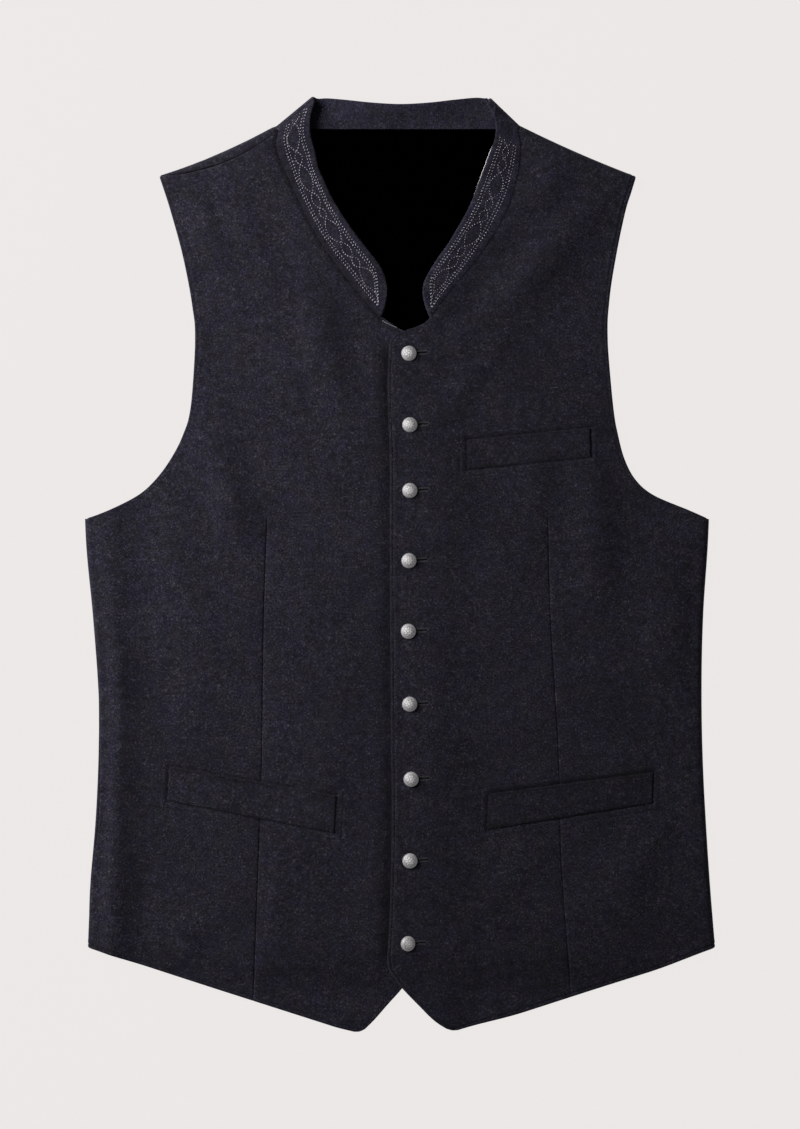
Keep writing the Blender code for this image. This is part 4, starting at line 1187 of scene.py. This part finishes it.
def worked(wearer, number, k, along, row_size):
    """Direction and size of stitch k of a line, both a little uneven as if done by hand."""
    across = np.array((-along[1], along[0]))
    wobble = 0.16 * sin(12.9898 * k + 4.1 * number)
    size = 0.92 + 0.24 * sin(7.233 * k + 2.3 * number) + 0.12 * sin(2.17 * k)
    if not row_size:
        return along + wobble * across, size * STRAND_SIZE[wearer]
    slant = 0.75 + 0.25 * sin(0.21 * k + number) + wobble
    finer = FADE[wearer] * float(smooth((k * ROW_PITCH - FADE_FROM) / FADE_LENGTH))
    return across - slant * along, size * row_size * (1 - finer)


def embroidery(wearer, surface):
    """Dotted lines along the collar; the rows are short slanting bars, the strands dots."""
    read, whole = collar_reader(wearer)
    s = np.linspace(POINT_S[wearer], min(whole, ROWS_END[wearer]), 900)
    marks = []
    for number, (t, row_size) in enumerate(embroidered_lines(wearer, s)):
        line = walk(read(s, t), ROW_PITCH if row_size else DOT_PITCH)
        for k, (place, along) in enumerate(zip(*line)):
            turn, size = worked(wearer, number, k, along, row_size)
            for top, normal in on_surface(surface, *place):
                marks.append((top + normal * DOT_LIFT, np.array((*turn, 0.0)), normal,
                              DOT_LENGTH * size, DOT_WIDTH * (0.5 + 0.5 * size), DOT_HEIGHT))
    return stitches("embroidery_" + wearer, marks)


FACING_FROM, FACING_TO, FACING_T = 94.0, 137.0, 26.15
FACING_SIGHT, FACING_DROP = 24.0, 1.6  # it lies this much below the band's top at that t


def facing_edge(surface):
    """A thin pale line at the left collar's free edge, tapering to nothing at both ends."""
    read, _ = collar_reader("left")
    marks = []
    for s in np.arange(FACING_FROM, FACING_TO, 0.8):
        part = (s - FACING_FROM) / (FACING_TO - FACING_FROM)
        size = float(smooth(part / 0.6) * smooth((1 - part) / 0.08))
        place = read(s, FACING_T)
        ahead = read(s + 1.0, FACING_T) - place
        for top, _ in on_surface(surface, *read(s, FACING_SIGHT)):
            marks.append((np.array((*place, top[2] - FACING_DROP)), np.array((*ahead, 0.0)),
                          np.array((0.0, 0.0, 1.0)), 2.0, 0.1 + 0.5 * size, 0.7))
    return stitches("facing_edge", marks)


# ================= buttonholes and buttons =================
EYELET_R = 1.9
SLIT_HALF = 0.28
SLIT_CLOSED = 0.3          # the lower slits lie closed, only the top one gapes
SLIT_LENGTH = 14.4
SLIT_RISE = 0.9            # the slit's outer end lies this much higher than the button
CUTTER_REACH = 4.5         # above and below the cloth's middle
LIP_IN, LIP_PITCH = 1.25, 0.62         # the stitches across the lips
LIP_STITCH = (1.5, 0.55, 0.14)         # length, width and height
BAR_STITCH = (2.2, 0.5, 0.14)


def keyhole(number, x, y):
    """Outline of a buttonhole: an eyelet round the shank, drawn out to a narrow slit."""
    half = SLIT_HALF if number == 1 else SLIT_CLOSED * SLIT_HALF
    begin = float(np.arcsin(half / EYELET_R))
    angles = np.linspace(begin, 2 * pi - begin, 22)
    outline = [(EYELET_R * cos(a), EYELET_R * sin(a)) for a in angles]
    outline += [(SLIT_LENGTH - 0.3, SLIT_RISE - half), (SLIT_LENGTH, SLIT_RISE),
                (SLIT_LENGTH - 0.3, SLIT_RISE + half)]
    return [(x + px, y + py) for px, py in outline]


def cutter(number, x, y, group):
    """A tall prism in the shape of a buttonhole."""
    outline = keyhole(number, x, y)
    middle = float(front_height("left", x, y))
    count = len(outline)
    verts = [(px, py, middle + dz) for dz in (-CUTTER_REACH, CUTTER_REACH) for px, py in outline]
    faces = [tuple(range(count))[::-1], tuple(range(count, 2 * count))]
    faces += [(k, (k + 1) % count, (k + 1) % count + count, k + count) for k in range(count)]
    placed("cutter_%d" % number, verts, faces, group)


def cut_buttonholes(piece):
    """Cut the left front through at each button, then remove the cutters."""
    group = bpy.data.collections.new("cutters")
    bpy.context.scene.collection.children.link(group)
    for number, (x, y) in enumerate(BUTTON_PLACES, start=1):
        cutter(number, x, y, group)
    holes = piece.modifiers.new("buttonholes", "BOOLEAN")
    holes.operation = "DIFFERENCE"
    holes.solver = "EXACT"
    holes.operand_type = "COLLECTION"
    holes.collection = group
    evaluated = piece.evaluated_get(bpy.context.evaluated_depsgraph_get())
    cut = bpy.data.meshes.new_from_object(evaluated)
    piece.modifiers.clear()
    piece.data = cut
    cut.shade_smooth()
    for tool in list(group.objects):
        bpy.data.objects.remove(tool, do_unlink=True)
    bpy.data.collections.remove(group)


def buttonhole_stitches(surface):
    """Close stitches across both lips of each slit and a bar at its end."""
    marks = []
    slope = SLIT_RISE / SLIT_LENGTH
    for x, y in BUTTON_PLACES:
        for step in np.arange(EYELET_R + 0.5, SLIT_LENGTH + 0.2, LIP_PITCH):
            for lip in (LIP_IN, -LIP_IN):
                for top, normal in on_surface(surface, x + step, y + slope * step + lip):
                    marks.append((top, np.array((0.05, 1.0, 0.0)), normal, *LIP_STITCH))
        for top, normal in on_surface(surface, x + SLIT_LENGTH + 0.9, y + SLIT_RISE):
            for shift in (-0.35, 0.35):
                marks.append((top + np.array((shift, 0.0, 0.0)), np.array((0.0, 1.0, 0.0)),
                              normal, *BAR_STITCH))
    return stitches("buttonhole_stitches", marks)


# columns: radius, height above the shank's foot, from the middle of the dome down to the foot
BUTTON_PROFILE = (
    (0.0, 8.4), (1.2, 8.33), (2.45, 8.1), (3.6, 7.68), (4.55, 7.1), (5.2, 6.4), (5.57, 5.7),
    (5.86, 5.1), (BUTTON_R, 4.7), (5.86, 4.3), (5.57, 4.0), (4.9, 3.75), (4.2, 3.6), (1.3, 3.5),
    (1.3, 0.0), (0.0, 0.0))
CROWN_ROWS = 9             # of the profile, from the middle to the widest ring
HEAD_RINGS = 34
HEAD_SIDES = 72
DOME_LIFT = 0.13           # the pressed dome bulges by this much over the profile
DOME_TOP = 0.24            # and its middle by this much
LAST_BUTTON_LEAN = 20.0    # degrees; it hangs askew in the photograph
LAST_BUTTON_LIFT, LAST_BUTTON_SHIFT = 0.6, -1.0
SPIN = 0.61                # radians from each button's ornament to the next one's


def button_relief(radius, angle):
    """Height of the pressed ornament: a plain eight-petalled rosette inside a beaded rim."""
    petal = np.cos(4 * angle) ** 2
    reach = 2.2 + 1.9 * petal
    leaf = smooth((reach - radius) / 0.5) * smooth((radius - 1.25) / 0.4)
    vein = np.exp(-((np.abs(np.sin(4 * angle)) * radius) / 0.22) ** 2) * leaf
    boss = smooth((1.15 - radius) / 0.35)
    rim = np.exp(-((radius - 4.95) / 0.34) ** 2) * (0.45 + 0.55 * np.cos(14 * angle) ** 2)
    dots = np.exp(-((radius - 3.95) / 0.3) ** 2) * np.cos(4 * angle + pi / 2) ** 8
    return 0.20 * leaf - 0.16 * vein + 0.24 * boss + 0.20 * rim + 0.18 * dots - 0.06


def turned(points, first, second, angle):
    """Turn points from their first axis towards their second."""
    out = points.copy()
    out[:, first] = points[:, first] * cos(angle) - points[:, second] * sin(angle)
    out[:, second] = points[:, first] * sin(angle) + points[:, second] * cos(angle)
    return out


def button_rings():
    """Points of a button's rings from the top down, and each one's tone, low in the hollows."""
    profile = np.array(BUTTON_PROFILE)
    crown = profile[:CROWN_ROWS]
    radii = np.linspace(0.0, BUTTON_R, HEAD_RINGS + 1)[1:]
    heights = np.interp(radii, crown[:, 0], crown[:, 1])
    lift = DOME_LIFT * (1 - (radii / BUTTON_R) ** 2)
    angle = np.linspace(0, 2 * pi, HEAD_SIDES, endpoint=False)
    verts, tone = [(0.0, 0.0, crown[0, 1] + DOME_TOP)], [1.0]
    for radius, height, bulge in zip(radii, heights, lift):
        fade = float(smooth((BUTTON_R - 0.35 - radius) / 0.5))
        relief = button_relief(radius, angle) * fade
        for a, rise in zip(angle, relief):
            verts.append((radius * cos(a), radius * sin(a), height + bulge + rise))
            tone.append(float(np.clip(0.35 + 1.9 * rise, 0.0, 1.0)))
    for radius, height in profile[CROWN_ROWS:-1]:
        for a in angle:
            verts.append((radius * cos(a), radius * sin(a), height))
            tone.append(0.15)
    verts.append((0.0, 0.0, 0.0))
    tone.append(0.1)
    return np.array(verts), tone


def button_faces(count):
    """Faces between the rings, with a fan at either end, for this many points."""
    faces = [(0, 1 + k, 1 + (k + 1) % HEAD_SIDES) for k in range(HEAD_SIDES)]
    for ring in range((count - 2) // HEAD_SIDES - 1):
        for k in range(HEAD_SIDES):
            a, b = 1 + ring * HEAD_SIDES + k, 1 + ring * HEAD_SIDES + (k + 1) % HEAD_SIDES
            faces.append((a, a + HEAD_SIDES, b + HEAD_SIDES, b))
    last = count - 1
    return faces + [(last, last - HEAD_SIDES + (k + 1) % HEAD_SIDES, last - HEAD_SIDES + k)
                    for k in range(HEAD_SIDES)]


def button(number, x, y):
    """A pressed metal dome with its shank, standing on the right front."""
    points, tone = button_rings()
    faces = button_faces(len(points))
    points = turned(points, 0, 1, SPIN * number)
    if number == len(BUTTONS):
        x = x + LAST_BUTTON_SHIFT
        points = turned(points, 2, 0, radians(LAST_BUTTON_LEAN))
        points[:, 2] = np.maximum(points[:, 2] + LAST_BUTTON_LIFT, 0.0)
    foot = float(front_height("right", x, y)) + FRONT_THICK / 2 + GAP
    piece = placed("metal_button_%d" % number, points + np.array((x, y, foot)), faces)
    mark_points(piece, "tone", tone)
    return piece


# ================= materials =================
# flecks from dark to light, then the tints of the two dyes
BODY_WOOL = ((0.0022, 0.0021, 0.0036), (0.0118, 0.0111, 0.0166), (0.058, 0.055, 0.068),
             (0.90, 0.90, 1.08), (1.06, 1.04, 0.98))
COLLAR_WOOL = ((0.0036, 0.0034, 0.0056), (0.0148, 0.0139, 0.0218), (0.054, 0.051, 0.066),
               (0.93, 0.93, 1.08), (1.06, 1.04, 1.0))
# dark tone, light tone, roughness, sheen
SEWING = ((0.006, 0.0058, 0.0082), (0.014, 0.0135, 0.018), 0.7, 0.05)
SILK = ((0.13, 0.115, 0.14), (0.33, 0.30, 0.355), 0.5, 0.2)
NECK_EDGE = ((0.06, 0.058, 0.064), (0.13, 0.126, 0.138), 0.6, 0.1)
PALE_FACING = ((0.50, 0.49, 0.48), (0.72, 0.70, 0.69), 0.7, 0.1)
SILVER_PAINTED_REFLECTION = 0.26         # painted reflection: the metal glows, standing for the bright room it would mirror from all sides
FLOOR_GLOW = 0.990         # the floor gives its own light, so it is pale and has no shadow


def preset(node, values):
    """Set values on a node's own sockets."""
    for socket, value in values.items():
        node.inputs[socket].default_value = value
    return node


def fresh_material(name, values):
    """A material, its tree, its shader with these values, and the object's coordinates."""
    mat = bpy.data.materials.new(name)
    mat.use_nodes = True
    tree = mat.node_tree
    shader = preset(tree.nodes["Principled BSDF"], values)
    return mat, tree, shader, tree.nodes.new("ShaderNodeTexCoord").outputs["Object"]


def noise(tree, vector, scale, detail, rough, distortion=0.0):
    """Cloudy values round one half."""
    node = preset(tree.nodes.new("ShaderNodeTexNoise"), {
        "Scale": scale, "Detail": detail, "Roughness": rough, "Distortion": distortion})
    tree.links.new(vector, node.inputs["Vector"])
    return node.outputs["Fac"]


def wave(tree, vector, scale, distortion, bands):
    """Parallel lines."""
    node = preset(tree.nodes.new("ShaderNodeTexWave"), {
        "Scale": scale, "Distortion": distortion})
    node.bands_direction = bands
    tree.links.new(vector, node.inputs["Vector"])
    return node.outputs["Fac"]


def stored(tree, name):
    """A value that the mesh's points carry."""
    node = tree.nodes.new("ShaderNodeAttribute")
    node.attribute_name = name
    return node


def ramp(tree, factor, stops):
    """Colours from values, by stops of place and colour."""
    node = tree.nodes.new("ShaderNodeValToRGB")
    elements = node.color_ramp.elements
    elements[0].position, elements[0].color = stops[0][0], (*stops[0][1], 1.0)
    elements[1].position, elements[1].color = stops[-1][0], (*stops[-1][1], 1.0)
    for position, colour in stops[1:-1]:
        elements.new(position).color = (*colour, 1.0)
    tree.links.new(factor, node.inputs["Fac"])
    return node.outputs["Color"]


def product(tree, colour, *others):
    """Colours multiplied in turn; the mix node's colour sockets are 6 and 7, its result 2."""
    for other in others:
        node = tree.nodes.new("ShaderNodeMix")
        node.data_type = "RGBA"
        node.blend_type = "MULTIPLY"
        node.inputs["Factor"].default_value = 1.0
        tree.links.new(colour, node.inputs[6])
        tree.links.new(other, node.inputs[7])
        colour = node.outputs[2]
    return colour


def stretched(tree, coordinates, scale, angle):
    """Coordinates turned and scaled, so that a noise on them has a direction."""
    node = preset(tree.nodes.new("ShaderNodeMapping"), {
        "Scale": scale, "Rotation": (0.0, 0.0, angle)})
    tree.links.new(coordinates, node.inputs["Vector"])
    return node.outputs["Vector"]


def bump(tree, height, strength, distance, onto=None):
    """A surface direction that follows heights, on top of another if one is given."""
    node = preset(tree.nodes.new("ShaderNodeBump"), {"Strength": strength, "Distance": distance})
    tree.links.new(height, node.inputs["Height"])
    if onto is not None:
        tree.links.new(onto, node.inputs["Normal"])
    return node.outputs["Normal"]


def wool(name, dark, middle, light, blue, grey):
    """Fulled, heathered wool: light flecks, blotches of two dyes, and a felted nap."""
    mat, tree, shader, place = fresh_material(name, {
        "Roughness": 0.93, "Specular IOR Level": 0.12, "Sheen Weight": 0.10,
        "Sheen Roughness": 0.5, "Sheen Tint": (0.60, 0.60, 0.72, 1.0)})
    flecks = ramp(tree, noise(tree, place, 640.0, 6.0, 0.80),
                  ((0.385, dark), (0.485, middle), (0.55, middle), (0.665, light)))
    mottle = ramp(tree, noise(tree, place, 150.0, 4.0, 0.7),
                  ((0.36, (0.68,) * 3), (0.64, (1.32,) * 3)))
    blotches = ramp(tree, noise(tree, place, 82.0, 3.0, 0.62, 0.4), ((0.38, blue), (0.62, grey)))
    worn = ramp(tree, noise(tree, place, 24.0, 4.0, 0.62),
                ((0.32, (0.82, 0.82, 0.83)), (0.68, (1.20, 1.20, 1.19))))
    dye = ramp(tree, noise(tree, stretched(tree, place, (1.3, 0.9, 1.0), 1.1), 75.0, 3.0, 0.65),
               ((0.36, (1.035, 0.98, 1.01)), (0.64, (0.965, 1.02, 0.99))))
    # the points' painted shade and light multiply the cloth's colour last
    shaded = product(tree, flecks, blotches, dye, mottle, worn,
                     stored(tree, "shade").outputs["Color"])
    tree.links.new(shaded, shader.inputs["Base Color"])
    one = noise(tree, stretched(tree, place, (1.0, 0.22, 1.0), 0.6), 1500.0, 4.0, 0.7)
    other = noise(tree, stretched(tree, place, (0.25, 1.0, 1.0), 0.25), 1300.0, 4.0, 0.7)
    felt = bump(tree, other, 0.55, 0.00035, bump(tree, one, 0.55, 0.00035))
    lumps = bump(tree, noise(tree, place, 210.0, 3.0, 0.6), 0.25, 0.0006, felt)
    tree.links.new(lumps, shader.inputs["Normal"])
    return mat


def lining_cloth():
    """Black twill that gives back almost no light."""
    mat, tree, shader, place = fresh_material("black_twill", {
        "Roughness": 0.85, "Specular IOR Level": 0.0})
    twill = wave(tree, place, 420.0, 0.0, "DIAGONAL")
    tones = ramp(tree, twill, ((0.0, (0.00004, 0.00004, 0.00005)),
                               (1.0, (0.00012, 0.00012, 0.00014))))
    tree.links.new(tones, shader.inputs["Base Color"])
    tree.links.new(bump(tree, twill, 0.2, 0.0001), shader.inputs["Normal"])
    return mat


def thread(name, dark, light, rough, sheen):
    """Twisted thread: fine lines with a soft gloss."""
    mat, tree, shader, place = fresh_material(name, {"Roughness": rough, "Sheen Weight": sheen})
    tones = ramp(tree, noise(tree, place, 240.0, 3.0, 0.6), ((0.32, dark), (0.66, light)))
    tree.links.new(tones, shader.inputs["Base Color"])
    twist = wave(tree, place, 900.0, 1.5, "X")
    tree.links.new(bump(tree, twist, 0.4, 0.00015), shader.inputs["Normal"])
    return mat


def antique_silver():
    """Worn bright metal on the raised parts, dark patina in the hollows, and a glow of painted
    reflection.
    """
    mat, tree, shader, place = fresh_material("antique_silver", {
        "Emission Strength": SILVER_PAINTED_REFLECTION, "Metallic": 0.55, "Roughness": 0.62})
    pits = noise(tree, place, 1400.0, 4.0, 0.7)
    raised = ramp(tree, stored(tree, "tone").outputs["Fac"], (
        (0.08, (0.13, 0.127, 0.129)), (0.42, (0.40, 0.392, 0.396)), (0.85, (0.64, 0.63, 0.635))))
    speckle = ramp(tree, pits, ((0.34, (0.55,) * 3), (0.58, (1.0,) * 3)))
    metal = product(tree, raised, speckle)
    tree.links.new(metal, shader.inputs["Base Color"])
    tree.links.new(metal, shader.inputs["Emission Color"])
    tree.links.new(bump(tree, pits, 0.35, 0.0002), shader.inputs["Normal"])
    return mat


def floor_material():
    """Pale plain ground, lit evenly."""
    return fresh_material("pale_ground", {
        "Base Color": (0.009, 0.009, 0.009, 1.0), "Roughness": 1.0, "Specular IOR Level": 0.0,
        "Emission Color": (0.838, 0.807, 0.799, 1.0), "Emission Strength": FLOOR_GLOW})[0]


# ================= light, camera and ground =================
# columns, in metres and watts: name, place, aim, size, power, colour
LIGHTS = (
    ("key", (-0.93, 0.46, 0.655), (-0.05, 0.05, 0.0), 0.85, 28.8, (1.0, 0.98, 0.99)),
    ("fill", (0.2, 0.1, 2.6), (0.0, 0.0, 0.0), 1.2, 1.2, (0.97, 0.98, 1.0)))
ROOM_COLOUR, ROOM_LIGHT = (0.9, 0.9, 0.92, 1.0), 0.115
CAMERA_LENS, CAMERA_SENSOR = 85.0, 36.0
CENTRE = (0.0, -0.39)      # middle of the photograph at z = 0, mm
FLOOR_HALF, FLOOR_CELLS = 4.0, 8       # metres from the middle to an edge
FLOOR_Z = -0.2             # mm, just clear of the vest


def area_light(name, place, aim, size, power, colour):
    """A square lamp that faces its aim."""
    data = bpy.data.lights.new(name, "AREA")
    data.shape = "SQUARE"
    data.size = size
    data.energy = power
    data.color = colour
    lamp = bpy.data.objects.new(name, data)
    lamp.location = place
    lamp.rotation_euler = (Vector(aim) - Vector(place)).to_track_quat("-Z", "Y").to_euler()
    bpy.context.scene.collection.objects.link(lamp)


def studio():
    """A key light from the upper left, a weak fill from above and a dim room."""
    scene = bpy.context.scene
    scene.view_settings.view_transform = "Standard"
    for light in LIGHTS:
        area_light(*light)
    world = bpy.data.worlds.new("studio")
    world.use_nodes = True
    preset(world.node_tree.nodes["Background"], {"Color": ROOM_COLOUR, "Strength": ROOM_LIGHT})
    scene.world = world


def camera():
    """Straight above, so that one photograph pixel covers PHOTO_MM at z = 0."""
    data = bpy.data.cameras.new("photo_view")
    data.lens = CAMERA_LENS
    data.sensor_width = CAMERA_SENSOR
    data.sensor_fit = "AUTO"
    eye = bpy.data.objects.new("photo_view", data)
    frame_height = PHOTO_SIZE[1] * PHOTO_MM
    distance = frame_height * CAMERA_LENS / CAMERA_SENSOR
    eye.location = (CENTRE[0] * MM, CENTRE[1] * MM, distance * MM)
    bpy.context.scene.collection.objects.link(eye)
    bpy.context.scene.camera = eye


def ground():
    """The pale floor, which belongs to the picture and not to the vest."""
    build = bmesh.new()
    bmesh.ops.create_grid(build, x_segments=FLOOR_CELLS, y_segments=FLOOR_CELLS, size=FLOOR_HALF)
    mesh = bpy.data.meshes.new("pale_floor")
    build.to_mesh(mesh)
    build.free()
    mesh.materials.append(floor_material())
    floor = bpy.data.objects.new("pale_floor", mesh)
    floor.location.z = FLOOR_Z * MM
    bpy.context.scene.collection.objects.link(floor)


# ================= the whole vest =================
NECK_STITCH = (0.9, 1.9, 0.8, 0.8)     # pitch, length, width and height
NECK_STITCH_OUT = (0.25, -0.5)         # from the right front's neck edge
TOPSTITCH = (2.6, 1.9, 0.55, 0.42)


def dress(piece, material, node=None):
    """Give a piece its material, carry it on the body, and hide the solid that it stands for."""
    piece.data.materials.clear()
    piece.data.materials.append(material)
    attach(piece, "root")
    if node:
        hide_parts(node)
    return piece


def main():
    """Build every piece and dress it."""
    body_wool = wool("navy_wool", *BODY_WOOL)
    collar_wool = wool("navy_wool_collar", *COLLAR_WOOL)
    sewing = thread("dark_sewing_thread", *SEWING)
    silk = thread("mauve_silver_thread", *SILK)

    levels = front_levels()
    under, under_top = front("right", levels)
    over, over_top = front("left", levels)
    under_surface, over_surface = surface_of(under_top), surface_of(over_top)
    cut_buttonholes(over)
    spine, _ = back()
    black, _ = lining()
    band, band_top = collar()
    band_surface = surface_of(band_top)
    dress(under, body_wool, "front_right")
    dress(over, body_wool, "front_left")
    dress(spine, body_wool, "back_panel")
    dress(black, lining_cloth(), "back_lining")
    dress(band, collar_wool, "collar")

    silver = antique_silver()
    for number, (x, y) in enumerate(BUTTON_PLACES, start=1):
        dress(button(number, x, y), silver, "button_%d" % number)
    for name, (wearer, corners) in WELTS.items():
        piece, _ = welt(name, wearer, corners)
        dress(piece, body_wool, name)

    closing = row_of_stitches(over_surface, closure_line(), *TOPSTITCH)
    topstitches = dress(stitches("topstitching", closing), sewing)
    neckline = np.array([edge_point(EDGES["right"], v) for v in np.linspace(3.11, 3.19, 24)])
    cording = row_of_stitches(under_surface, neckline + NECK_STITCH_OUT, *NECK_STITCH)
    cord = dress(stitches("neck_edge_cord", cording), thread("neck_edge_cord", *NECK_EDGE))
    facing = dress(facing_edge(band_surface), thread("pale_facing", *PALE_FACING))
    needlework = [dress(embroidery(wearer, band_surface), silk)
                  for wearer in ("right", "left")]
    holes = dress(buttonhole_stitches(over_surface), sewing)


main()
camera()
ground()
studio()
